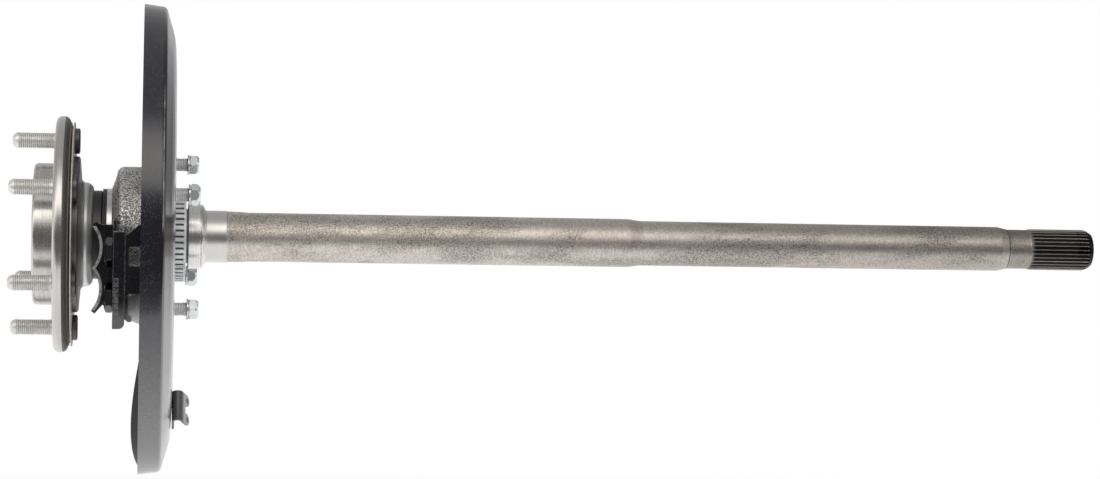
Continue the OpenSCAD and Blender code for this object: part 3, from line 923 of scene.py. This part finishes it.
@dataclass(frozen=True)
class BracketCoat(BlackCoat):
    """The bracket's coat, with painted highlights on the rolled edges of its fork."""

    fork_to: float = -0.0478
    fork_soft: float = 0.0005
    rolled_y: float = -0.0450
    rolled_soft: float = 0.0004

    def zones(self, graph: Graph, where: Socket, colour: Socket) -> Socket:
        """Paint highlights on the rolled edges on the front of the fork.

        Args:
            graph: The material's graph.
            where: Object coordinates.
            colour: The colour so far.

        Returns:
            The colour with these zones.
        """
        x, y, _ = graph.split(where)
        # painted highlight: the rolled edges on the fork's front take the pale colour
        proud = graph.step(y, self.rolled_y, self.rolled_soft, 1.0, 0.0)
        fork = graph.step(x, self.fork_to, self.fork_soft, 1.0, 0.0)
        breakup = graph.fade(graph.noise(where, 330.0), 0.32, 0.55, 0.35, 1.0)
        return graph.blend(graph.times(proud, fork, breakup), colour, self.worn_and_highlight)


@dataclass(frozen=True)
class ClipCoat(BlackCoat):
    """The clip's coat, with a painted reflection of the table on its flat tongue."""

    tongue_from: float = 0.0085
    tongue_soft: float = 0.0006
    tongue: Colour = (0.36, 0.36, 0.365)

    def zones(self, graph: Graph, where: Socket, colour: Socket) -> Socket:
        """Give the colour with a painted reflection on the tongue; see Finish.zones."""
        # painted reflection of the table on the flat tongue
        mask = graph.band(where, self.tongue_from, PAST_ALL, self.tongue_soft)
        return graph.blend(mask, colour, self.tongue)


@dataclass(frozen=True)
class Rubber(Finish):
    """Moulded rubber or gasket paper with a fine tooth."""

    tooth: float = 900.0

    def paint(self, graph: Graph, shader: bpy.types.Node, where: Socket) -> Optional[Socket]:
        """Wire the tooth of the surface.

        Args:
            graph: The material's graph.
            shader: The Principled node.
            where: Object coordinates.

        Returns:
            The height field for the bump.
        """
        fine = graph.noise(where, self.tooth)
        stops = [(0.3, shade(self.colour, 0.75)), (0.7, shade(self.colour, 1.2))]
        graph.join(graph.tint(fine, stops), shader.inputs["Base Color"])
        return fine


# Both stud finishes paint shade into their thread's valleys; the wheel studs' stretch is painted shade on the
# heads behind the flange.
STUD_STEEL = ZonedPlate("stud steel", "stud_steel", (0.93, 0.915, 0.885), 0.38, 0.6,
                        stretch=(STUD_SEAT - 0.0015, 0.0), thread_shade=0.4)
BARE_STUD = ZonedPlate("bare stud steel", "zinc_plate", (0.98, 0.97, 0.95), 0.36, 0.25, thread_shade=0.32)
ZINC = Plated("zinc plate", "zinc_plate", (0.92, 0.965, 0.985), 0.17, 0.65, bump=0.00001, round_edge=0.0006)
# a paler copy of the cast iron: painted light for a boss that sits in the shade of the rim and the bracket
SMOOTH_LIT_CAST = CastSkin("smooth cast skin painted light", "cast_iron", (0.93, 0.93, 0.93), 0.5, 0.0, bump=0.00008,
                       grain=700.0, dark=(0.78, 0.78, 0.78))
SEAL_BLACK: Colour = (0.022, 0.022, 0.024)
RACE_GREY: Colour = (0.62, 0.62, 0.62)
CAD_FINISHES: dict[str, Finish] = {
    "axle_shaft": AxleSteel("axle steel", "forged_steel", bump=0.00005, round_edge=0.0006),
    "deflector_gasket": Rubber("gasket paper", "gasket_paper", (0.36, 0.25, 0.15), 0.8, 0.0, bump=0.00003),
    # dark stretch: painted shade in the deflector's groove behind the flange
    "oil_deflector": ZonedPlate("bright sheet", "bright_steel", (0.80, 0.78, 0.74), 0.4, 0.3,
                                round_edge=0.0003, stretch=(FLANGE_BACK, FLANGE_BACK + 0.002),
                                dark=(0.03, 0.03, 0.03)),
    "bearing_inner_ring": TurnedSteel("bearing race steel", "bearing_steel", RACE_GREY, 0.18, bump=0.000005),
    # dark floor: painted shade on the bottoms of the tone ring's slots
    "tone_ring": ZonedPlate("tone ring zinc", "zinc_plate", (0.96, 0.985, 1.0), 0.22, 0.2, bump=0.00001,
                            round_edge=0.0005, floor_radius=TONE_RADIUS - 0.0009, dark=(0.30, 0.31, 0.32)),
    "bearing_retainer": TurnedSteel("collar steel", "machined_steel", (0.88, 0.86, 0.825), 0.27, bump=0.00001,
                                    round_edge=0.0006),
    "ball_cage": Plated("pressed cage steel", "cage_steel", (0.55, 0.50, 0.40), 0.35),
    "bearing_balls": Plated("ball steel", "bearing_steel", (0.68, 0.68, 0.68), 0.08),
    "bearing_case": CastSkin("cast iron skin", "cast_iron", (0.97, 0.955, 0.93), 0.34, 0.6, bump=0.0002,
                             round_edge=0.0012, grain=1000.0, dark=(0.19, 0.185, 0.175)),
    "bearing_outer_ring": TurnedSteel("outer race steel", "bearing_steel", RACE_GREY, 0.2, bump=0.000005),
    "outboard_bearing_seal": Rubber("bearing seal rubber", "seal_rubber", SEAL_BLACK, 0.5, 0.0,
                                    bump=0.00003),
    "inboard_bearing_seal": Rubber("bearing seal rubber in", "seal_rubber", SEAL_BLACK, 0.5, 0.0,
                                   bump=0.00003),
    "bearing_snap_ring": Plated("snap ring steel", "spring_steel", (0.16, 0.16, 0.17), 0.35),
    "oil_seal_case": Plated("seal case steel", "bright_steel", (0.72, 0.72, 0.705), 0.22, round_edge=0.0005),
    "oil_seal_lip": Rubber("seal lip rubber", "seal_rubber", (0.02, 0.02, 0.022), 0.42, 0.0, bump=0.00003),
    "garter_spring": Plated("garter spring steel", "spring_steel", (0.5, 0.5, 0.5), 0.3),
    "spring_washers": ZINC,
    "case_nuts": ZINC,
    # lighter grey low down: partly dust, partly painted reflection of the table
    "dust_shield": ShieldPaint("black gloss paint", "black_gloss_paint", (0.006, 0.006, 0.013), 0.15, 0.0,
                               ior=1.8, bump=0.00002, dust=0.3, round_edge=0.0006, dust_and_reflection=1.1),
    # rubbed edges also paint highlights; the tongue carries a painted reflection
    "cable_clip": ClipCoat("clip coat", "black_coat", (0.065, 0.062, 0.07), 0.32, 0.0, ior=1.7, dust=0.3,
                           edge_wear_and_highlight=0.8, bump=0.00003, round_edge=0.0004),
    # rubbed and rolled edges carry painted highlights; the lighter grey low down is partly dust and partly
    # painted reflection
    "brake_bracket": BracketCoat("bracket coat", "black_coat", (0.006, 0.006, 0.011), 0.22, 0.0, ior=1.6,
                                 dust=0.25, edge_wear_and_highlight=1.0, edge_wear_and_highlight_radius=0.0012, bump=0.00004, round_edge=0.0006,
                                 dust_and_reflection=1.4, dust_and_reflection_from=-0.046, dust_and_reflection_to=-0.068),
    "bracket_bolts": Plated("dark bolt steel", "dark_bolt_steel", (0.13, 0.13, 0.135), 0.14, bump=0.00001,
                            round_edge=0.0008),
}


def blank(name: str) -> tuple[bpy.types.Material, Graph]:
    """Make a material with nothing in its node tree.

    Args:
        name: The material's name.

    Returns:
        The material and its graph.
    """
    material = bpy.data.materials.new(name)
    material.use_nodes = True
    material.node_tree.nodes.clear()
    return material, Graph(material.node_tree)


def place(name: str, data: Any) -> bpy.types.Object:
    """Put a new object into the scene.

    Args:
        name: Its name.
        data: Its mesh, lamp or camera.

    Returns:
        The object.
    """
    thing = bpy.data.objects.new(name, data)
    bpy.context.scene.collection.objects.link(thing)
    return thing


def settle(name: str, mesh: bpy.types.Mesh, body: Body) -> bpy.types.Object:
    """Make a finished mesh a piece that rides on a body.

    Args:
        name: The piece's name.
        mesh: Its mesh, with its material.
        body: The body that carries it.

    Returns:
        The piece.
    """
    mesh.name = name
    mesh.shade_smooth()
    mesh.set_sharp_from_angle(angle=SHARP_ANGLE)
    piece = place(name, mesh)
    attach(piece, body.value)
    log.info("%s: %d faces, rides on %s", name, len(mesh.polygons), body.value)
    return piece


class Dresser:
    """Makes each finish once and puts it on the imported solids."""

    def __init__(self, nodes: dict[str, bpy.types.Object]) -> None:
        """Keep the solids by name."""
        self.nodes = nodes
        self.made: dict[str, bpy.types.Material] = {}

    def material(self, finish: Finish) -> bpy.types.Material:
        """Give the material of a finish, and make it if it is new.

        Args:
            finish: The finish.

        Returns:
            Its material.
        """
        if finish.name not in self.made:
            self.made[finish.name] = finish.make()
        return self.made[finish.name]

    def dress(self, name: str, finish: Finish) -> None:
        """Give one solid its finish.

        Args:
            name: The solid's node.
            finish: The finish.
        """
        thing = self.nodes[name]
        if not thing.material_slots:
            thing.data.materials.append(self.material(finish))
        for slot in thing.material_slots:
            slot.material = self.material(finish)
        log.info("%s: %s", name, finish.name)


@dataclass
class StudSet:
    """Threaded studs on a circle round the axle: one stud, and a node tree that repeats it."""

    name: str
    replaces: str
    body: Body
    finish: Finish
    count: int
    circle: float
    first: float
    pitch: float
    depth: float
    columns: int = 48
    rows_in_pitch: int = 12
    least_row: float = 2e-5
    closing: float = 1e-5

    def profile(self) -> Outline:
        """Give one stud's places along the axle and radii; each set has its own."""
        raise NotImplementedError(self.name)

    def thread(self) -> Span:
        """Give where the thread starts and ends along the axle; each set has its own."""
        raise NotImplementedError(self.name)

    def bar(self) -> bpy.types.Mesh:
        """Build one stud about its own axis: a turned profile with a helical thread cut into it.

        Returns:
            The mesh, closed at both ends, with the thread's depth as an attribute.
        """
        start, end = self.thread()
        places, radii = zip(*self.profile())
        fine = np.arange(start, end, self.pitch / self.rows_in_pitch)
        xs = np.unique(np.round(np.concatenate([places, fine]), 7))
        xs = xs[np.concatenate([[True], np.diff(xs) > self.least_row])]
        turn = np.linspace(0.0, FULL_TURN, self.columns, endpoint=False)
        run_in = np.clip((xs - start) / self.pitch, 0.0, 1.0)
        run_out = np.clip((end - xs) / (2.0 * self.pitch), 0.0, 1.0)
        phase = (xs[:, None] / self.pitch - turn[None, :] / FULL_TURN) % 1.0
        groove = (run_in * run_out)[:, None] * (0.5 - 0.5 * np.cos(FULL_TURN * phase))
        radius = np.interp(xs, places, radii)[:, None] - self.depth * groove
        rows, columns = radius.shape
        skin = [np.repeat(xs, columns), (radius * np.cos(turn)).ravel(), (radius * np.sin(turn)).ravel()]
        points = np.concatenate([np.stack(skin, axis=1), [[xs[0], 0.0, 0.0], [xs[-1], 0.0, 0.0]]])
        first, last = rows * columns, rows * columns + 1
        faces: list[tuple[int, ...]] = []
        for j in range(columns):
            k = (j + 1) % columns
            for i in range(rows - 1):
                near, far = i * columns, (i + 1) * columns
                faces.append((near + k, far + k, far + j, near + j))
            faces.append((k, j, first))
            faces.append(((rows - 1) * columns + j, (rows - 1) * columns + k, last))
        mesh = bpy.data.meshes.new(self.name + "_bar")
        mesh.from_pydata(points.tolist(), [], faces)
        mesh.update()
        depth = mesh.attributes.new(THREAD, "FLOAT", "POINT")
        depth.data.foreach_set("value", np.concatenate([groove.ravel(), [0.0, 0.0]]))
        return mesh

    def tree(self) -> bpy.types.NodeTree:
        """Build the node tree that repeats one stud round the axle.

        Returns:
            A tree with Count, Circle Radius, First Angle and Material inputs.
        """
        tree = bpy.data.node_groups.new(self.name + "_ring", "GeometryNodeTree")
        for key, kind in (("Geometry", "Geometry"), ("Count", "Int"), ("Circle Radius", "Float"),
                          ("First Angle", "Float"), ("Material", "Material")):
            tree.interface.new_socket(name=key, in_out="INPUT", socket_type="NodeSocket" + kind)
        tree.interface.new_socket(name="Geometry", in_out="OUTPUT", socket_type="NodeSocketGeometry")
        g = Graph(tree)
        have = g.add("NodeGroupInput").outputs
        circle = g.add("GeometryNodeMeshCircle", fill_type="NONE")
        g.join(have["Count"], circle.inputs["Vertices"])
        g.join(have["Circle Radius"], circle.inputs["Radius"])
        stand = g.add("GeometryNodeTransform")
        stand.inputs["Rotation"].default_value = (0.0, -math.pi / 2.0, 0.0)
        g.join(circle.outputs[0], stand.inputs["Geometry"])
        angle = g.add("ShaderNodeCombineXYZ")
        g.join(have["First Angle"], angle.inputs[0])
        swing = g.add("GeometryNodeTransform")
        g.join(stand.outputs[0], swing.inputs["Geometry"])
        g.join(angle.outputs[0], swing.inputs["Rotation"])
        studs = g.add("GeometryNodeInstanceOnPoints")
        g.join(swing.outputs[0], studs.inputs["Points"])
        g.join(have["Geometry"], studs.inputs["Instance"])
        real = g.add("GeometryNodeRealizeInstances")
        g.join(studs.outputs[0], real.inputs["Geometry"])
        dress = g.add("GeometryNodeSetMaterial")
        g.join(real.outputs[0], dress.inputs["Geometry"])
        g.join(have["Material"], dress.inputs["Material"])
        g.join(dress.outputs[0], g.add("NodeGroupOutput").inputs["Geometry"])
        return tree

    def build(self, material: bpy.types.Material) -> bpy.types.Object:
        """Make the whole set as one plain mesh on its body.

        Args:
            material: The studs' material.

        Returns:
            The finished piece.
        """
        seed = place(self.name + "_seed", self.bar())
        modifier = seed.modifiers.new("ring", "NODES")
        modifier.node_group = self.tree()
        values = {"Count": self.count, "Circle Radius": self.circle / 2.0,
                  "First Angle": math.radians(self.first), "Material": material}
        for item in modifier.node_group.interface.items_tree:
            if item.in_out == "INPUT" and item.name in values:
                modifier[item.identifier] = values[item.name]
        graph = bpy.context.evaluated_depsgraph_get()
        mesh = bpy.data.meshes.new_from_object(seed.evaluated_get(graph), depsgraph=graph)
        seed.modifiers.remove(modifier)
        bpy.data.objects.remove(seed)
        piece = settle(self.name, mesh, self.body)
        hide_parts(self.replaces)
        return piece


@dataclass
class WheelStuds(StudSet):
    """The pressed wheel studs: a rounded tip, the thread, the press fit and a round head."""

    name: str = "wheel_stud_set"
    replaces: str = "wheel_studs"
    body: Body = Body.AXLE
    finish: Finish = STUD_STEEL
    count: int = 6
    circle: float = 0.1397
    first: float = 0.0
    pitch: float = 0.0015
    depth: float = 0.0006
    nose: tuple[Span, ...] = ((0.0, 0.0), (0.0, 0.0022), (0.0007, 0.0039), (0.0018, 0.0049), (0.0030, 0.0055),
                              (0.0042, 0.0059))
    thread_after: float = 0.004
    thread_radius: float = 0.0060
    press_radius: float = 0.00635
    press_step: float = 0.0003
    head_radius: float = 0.0096
    head_edge: float = 0.0008
    head_corner: float = 0.0085

    def profile(self) -> Outline:
        """Give the outline from the rounded tip over the press fit to the head.

        Returns:
            Places along the axle and radii.
        """
        tip, end = start_of(self.replaces), end_of(self.replaces)
        return [*((tip + x, r) for x, r in self.nose),
                (FLANGE_FACE - self.press_step, self.thread_radius), (FLANGE_FACE, self.press_radius),
                (STUD_SEAT, self.press_radius), (STUD_SEAT + SKIM / 2.0, self.head_radius - SKIM),
                (end - self.head_edge, self.head_radius), (end, self.head_corner), (end + self.closing, 0.0)]

    def thread(self) -> Span:
        """Give the thread from behind the tip to the flange."""
        return start_of(self.replaces) + self.thread_after, FLANGE_FACE - self.press_step - SKIM


@dataclass
class CaseStuds(StudSet):
    """The studs of the case: a root held in the case, a threaded shank and a slimmer end for the nut."""

    name: str = "case_stud_set"
    replaces: str = "case_studs"
    body: Body = Body.CARRIER
    finish: Finish = BARE_STUD
    count: int = 4
    circle: float = CASE_CIRCLE
    first: float = CASE_FIRST
    pitch: float = 0.00125
    depth: float = 0.0005
    grip_radius: float = 0.0055
    shank_radius: float = 0.0050
    shank_step: float = 0.0004
    nut_radius: float = 0.0046
    nut_step: float = 0.0005
    tip_radius: float = 0.0036
    tip_edge: float = 0.001

    def profile(self) -> Outline:
        """Give the outline from the root over the shank to the tip.

        Returns:
            Places along the axle and radii.
        """
        root, tip = start_of(self.replaces), end_of(self.replaces)
        return [(root, 0.0), (root, self.grip_radius - SKIM), (-self.shank_step, self.grip_radius),
                (0.0, self.shank_radius), (WASHER - self.nut_step, self.shank_radius),
                (WASHER, self.nut_radius), (tip - self.tip_edge, self.nut_radius), (tip, self.tip_radius),
                (tip + self.closing, 0.0)]

    def thread(self) -> Span:
        """Give the thread of the shank, between the shield and the washer."""
        return self.shank_step, WASHER - 2.0 * SKIM


@dataclass
class LugBoss:
    """The cast boss that carries one lug of the case forward, behind the bracket."""

    name: str = "lug_boss"
    body: Body = Body.CARRIER
    finish: Finish = SMOOTH_LIT_CAST
    circle: float = CASE_CIRCLE
    angle: float = CASE_FIRST + 180.0
    back: float = end_of("bearing_case") - 0.0203
    length: float = 0.0147
    nose_radius: float = 0.0062
    front_radius: float = 0.0092
    back_radius: float = 0.0136
    flare: float = 1.6
    columns: int = 48
    rows: int = 14

    def profile(self) -> Outline:
        """Give the outline from the nose to the root: a domed end, then a flare into the case.

        Returns:
            Places along the axle and radii.
        """
        front = self.back - self.length
        dome = self.front_radius - self.nose_radius
        start, widening = front + dome, self.back_radius - self.front_radius
        nose = [(front + dome * (1.0 - math.cos(t)), self.nose_radius + dome * math.sin(t))
                for t in np.linspace(0.0, math.pi / 2.0, self.rows // 2)]
        root = [(start + (self.back - start) * s, self.front_radius + widening * s ** self.flare)
                for s in np.linspace(0.0, 1.0, self.rows)]
        return nose + root[1:]

    def build(self, material: bpy.types.Material) -> bpy.types.Object:
        """Make the boss as one closed mesh on its body.

        Args:
            material: The boss's material.

        Returns:
            The finished piece.
        """
        turn, n = math.radians(self.angle), self.columns
        y0, z0 = self.circle / 2.0 * math.cos(turn), self.circle / 2.0 * math.sin(turn)
        outline = self.profile()
        around = np.linspace(0.0, FULL_TURN, n, endpoint=False)
        points = [(x, y0 + r * math.cos(a), z0 + r * math.sin(a)) for x, r in outline for a in around]
        starts = [i * n for i in range(len(outline))]
        faces: list[tuple[int, ...]] = [(near + j, near + (j + 1) % n, far + (j + 1) % n, far + j)
                                        for near, far in zip(starts, starts[1:]) for j in range(n)]
        faces.append(tuple(range(n))[::-1])
        faces.append(tuple(range(starts[-1], starts[-1] + n)))
        mesh = bpy.data.meshes.new(self.name)
        mesh.from_pydata(points, [], faces)
        mesh.materials.append(material)
        piece = settle(self.name, mesh, self.body)
        return piece


@dataclass
class View:
    """The camera, set by where it stands beside the axle."""

    lens: float = 96.37
    sensor: float = 36.0
    sees_to: float = 60.0
    foot: float = -0.0175
    away: float = 2.235
    height: float = 0.030
    yaw: float = 7.7245
    roll: float = 1.01
    aim_height: float = 0.0018

    def build(self) -> bpy.types.Object:
        """Make the camera the scene's own.

        Returns:
            The camera.
        """
        data = bpy.data.cameras.new("view")
        data.lens = self.lens
        data.sensor_width = self.sensor
        data.sensor_fit = "HORIZONTAL"
        data.clip_end = self.sees_to
        camera = place("view", data)
        yaw, roll = math.radians(self.yaw), math.radians(self.roll)
        stand = Vector((self.foot, -self.away, self.height))
        target = Vector((self.foot + self.away * math.tan(yaw), 0.0, self.aim_height))
        ahead = (target - stand).normalized()
        right = ahead.cross(Vector((0.0, 0.0, 1.0))).normalized()
        up = right.cross(ahead)
        tilted = up * math.cos(roll) - right * math.sin(roll)
        side = ahead.cross(tilted).normalized()
        turn = Matrix((side, tilted, -ahead)).transposed().to_4x4()
        camera.matrix_world = Matrix.Translation(stand) @ turn
        bpy.context.scene.camera = camera
        log.info("view: %.1f mm lens, %.2f m away", self.lens, self.away)
        return camera


@dataclass(frozen=True)
class Panel:
    """A curved sheet of light round the axle's line, with levels by angle over the camera's side."""

    name: str
    away: float
    full_to: float
    dim_at: float
    stops: tuple[tuple[float, float], ...]
    dim: float = 0.5
    ends: Span = (-6.0, 7.0)
    rows: int = 49

    def place(self, angle: float) -> float:
        """Tell where an angle lies between the first and last stop, from 0 to 1."""
        return (angle - self.stops[0][0]) / (self.stops[-1][0] - self.stops[0][0])

    def colour(self, level: float, top: float) -> Colour:
        """Give the colour of a level as a share of the top level, warmer where it is brighter."""
        warm = max(0.0, level - 0.6)
        return (level / top, level * (1.0 - 0.035 * warm) / top, level * (1.0 - 0.085 * warm) / top)


FRONT_PANEL = Panel("front panel", away=0.40, full_to=0.15, dim_at=0.75, stops=(
    (-28.0, 0.5), (-23.0, 0.22), (-14.0, 0.13), (0.0, 0.11), (8.0, 0.13), (14.0, 0.26), (19.0, 0.5)))
TOP_PANEL = Panel("top panel", away=2.5, full_to=0.25, dim_at=1.7, stops=(
    (19.0, 0.55), (24.0, 1.15), (30.0, 1.75), (40.0, 2.0), (48.0, 1.7), (56.0, 1.0), (62.0, 0.55),
    (72.0, 0.42), (105.0, 0.42), (125.0, 0.42), (150.0, 0.5), (178.0, 0.8)))


@dataclass
class Studio:
    """A white table, a long soft box over the camera and panels of light that only reflections see."""

    table_z: float = -0.192
    table_half: float = 14.0
    table_paint: Colour = (0.9, 0.9, 0.9)
    table_glow: float = 0.35
    shadow_keep: float = 0.9
    shade_half: float = 0.16
    shade_core: float = 0.4
    box_angle: float = 43.0
    box_away: float = 2.6
    box_x: float = 0.35
    box_size: Span = (6.0, 1.25)
    box_watts: float = 27.0
    box_colour: Colour = (1.0, 0.975, 0.94)
    room_light: float = 0.55
    panels: tuple[Panel, ...] = (FRONT_PANEL, TOP_PANEL)

    def build(self) -> None:
        """Make the table, panels, lamp and room."""
        self.lay_table()
        for panel in self.panels:
            self.hang(panel)
        self.soft_box()
        self.room()
        bpy.context.scene.view_settings.view_transform = "Standard"

    @staticmethod
    def seen(graph: Graph) -> Socket:
        """Tell whether a ray shows the background, straight or in a reflection.

        Args:
            graph: The material's or world's graph.

        Returns:
            1 for camera, glossy and transmission rays, otherwise 0.
        """
        path = graph.add("ShaderNodeLightPath").outputs
        return graph.most(path["Is Camera Ray"], path["Is Glossy Ray"], path["Is Transmission Ray"])

    def lay_table(self) -> None:
        """Lay the pale table, which keeps the shadow near the part and is white farther off."""
        h, z = self.table_half, self.table_z
        mesh = bpy.data.meshes.new("table")
        mesh.from_pydata([(-h, -h, z), (h, -h, z), (h, h, z), (-h, h, z)], [], [(0, 1, 2, 3)])
        material, g = blank("pale table")
        paint = g.add("ShaderNodeBsdfDiffuse")
        g.join(self.table_paint, paint.inputs["Color"])
        share = g.add("ShaderNodeMixShader")
        x, y, _ = g.split(g.add("ShaderNodeTexCoord").outputs["Object"])
        low, high = CAD_BOX[0][0], CAD_BOX[1][0]
        past = g.minus(g.maths("ABSOLUTE", g.minus(x, (low + high) / 2.0)), (high - low) / 2.0)
        gap = g.most(past, 0.0, g.maths("ABSOLUTE", y))
        white = g.fade(gap, self.shade_half * self.shade_core, self.shade_half, self.shadow_keep, 1.0)
        g.join(g.fade(self.seen(g), 0.0, 1.0, self.table_glow, white), share.inputs[0])
        g.join(paint.outputs[0], share.inputs[1])
        g.join(g.add("ShaderNodeEmission").outputs[0], share.inputs[2])
        g.join(share.outputs[0], g.add("ShaderNodeOutputMaterial").inputs[0])
        mesh.materials.append(material)
        place("table", mesh)

    def hang(self, panel: Panel) -> None:
        """Hang a panel of light, seen by reflections alone.

        Args:
            panel: The panel.
        """
        start, end = panel.stops[0][0], panel.stops[-1][0]
        angles = np.radians(np.linspace(start, end, panel.rows))
        points = [(x, -panel.away * math.cos(a), panel.away * math.sin(a))
                  for x in panel.ends for a in angles]
        n = panel.rows
        mesh = bpy.data.meshes.new(panel.name)
        mesh.from_pydata(points, [], [(i, i + 1, n + i + 1, n + i) for i in range(n - 1)])
        material, g = blank(panel.name)
        x, y, z = g.split(g.add("ShaderNodeTexCoord").outputs["Object"])
        angle = g.maths("ARCTAN2", z, g.times(y, -1.0))
        along = g.maths("DIVIDE", g.minus(angle, math.radians(start)), math.radians(end - start))
        top = max(level for _, level in panel.stops)
        ramp = g.tint(along, [(panel.place(a), panel.colour(level, top)) for a, level in panel.stops])
        glow = g.add("ShaderNodeEmission")
        g.join(ramp, glow.inputs["Color"])
        g.join(g.fade(x, panel.full_to, panel.dim_at, top, top * panel.dim), glow.inputs["Strength"])
        g.join(glow.outputs[0], g.add("ShaderNodeOutputMaterial").inputs[0])
        mesh.materials.append(material)
        sheet = place(panel.name, mesh)
        sheet.visible_camera = sheet.visible_diffuse = False
        sheet.visible_shadow = sheet.visible_transmission = False

    def soft_box(self) -> None:
        """Hang the long soft box over the camera."""
        data = bpy.data.lights.new("soft box", "AREA")
        data.shape = "RECTANGLE"
        data.size, data.size_y = self.box_size
        data.energy = self.box_watts
        data.color = self.box_colour
        lamp = place("soft box", data)
        a = math.radians(self.box_angle)
        lamp.location = (self.box_x, -self.box_away * math.cos(a), self.box_away * math.sin(a))
        lamp.rotation_euler = (math.pi / 2.0 - a, 0.0, 0.0)
        lamp.visible_camera = lamp.visible_glossy = False

    def room(self) -> None:
        """Make the room: white where it is seen, softer where it lights."""
        world = bpy.data.worlds.new("room")
        bpy.context.scene.world = world
        world.use_nodes = True
        world.node_tree.nodes.clear()
        g = Graph(world.node_tree)
        back = g.add("ShaderNodeBackground")
        g.join((1.0, 1.0, 1.0), back.inputs["Color"])
        g.join(g.fade(self.seen(g), 0.0, 1.0, self.room_light, 1.0), back.inputs["Strength"])
        g.join(back.outputs[0], g.add("ShaderNodeOutputWorld").inputs[0])


def main() -> None:
    """Dress the axle shaft, set up the studio and place the camera."""
    logging.basicConfig(level=logging.INFO, format="%(name)s: %(message)s")
    dresser = Dresser(frame["nodes"])
    for name, finish in CAD_FINISHES.items():
        dresser.dress(name, finish)
    for studs in (WheelStuds(), CaseStuds()):
        studs.build(dresser.material(studs.finish))
        dresser.dress(studs.replaces, studs.finish)
    boss = LugBoss()
    boss.build(dresser.material(boss.finish))
    Studio().build()
    View().build()


if __name__ == "__main__":
    main()
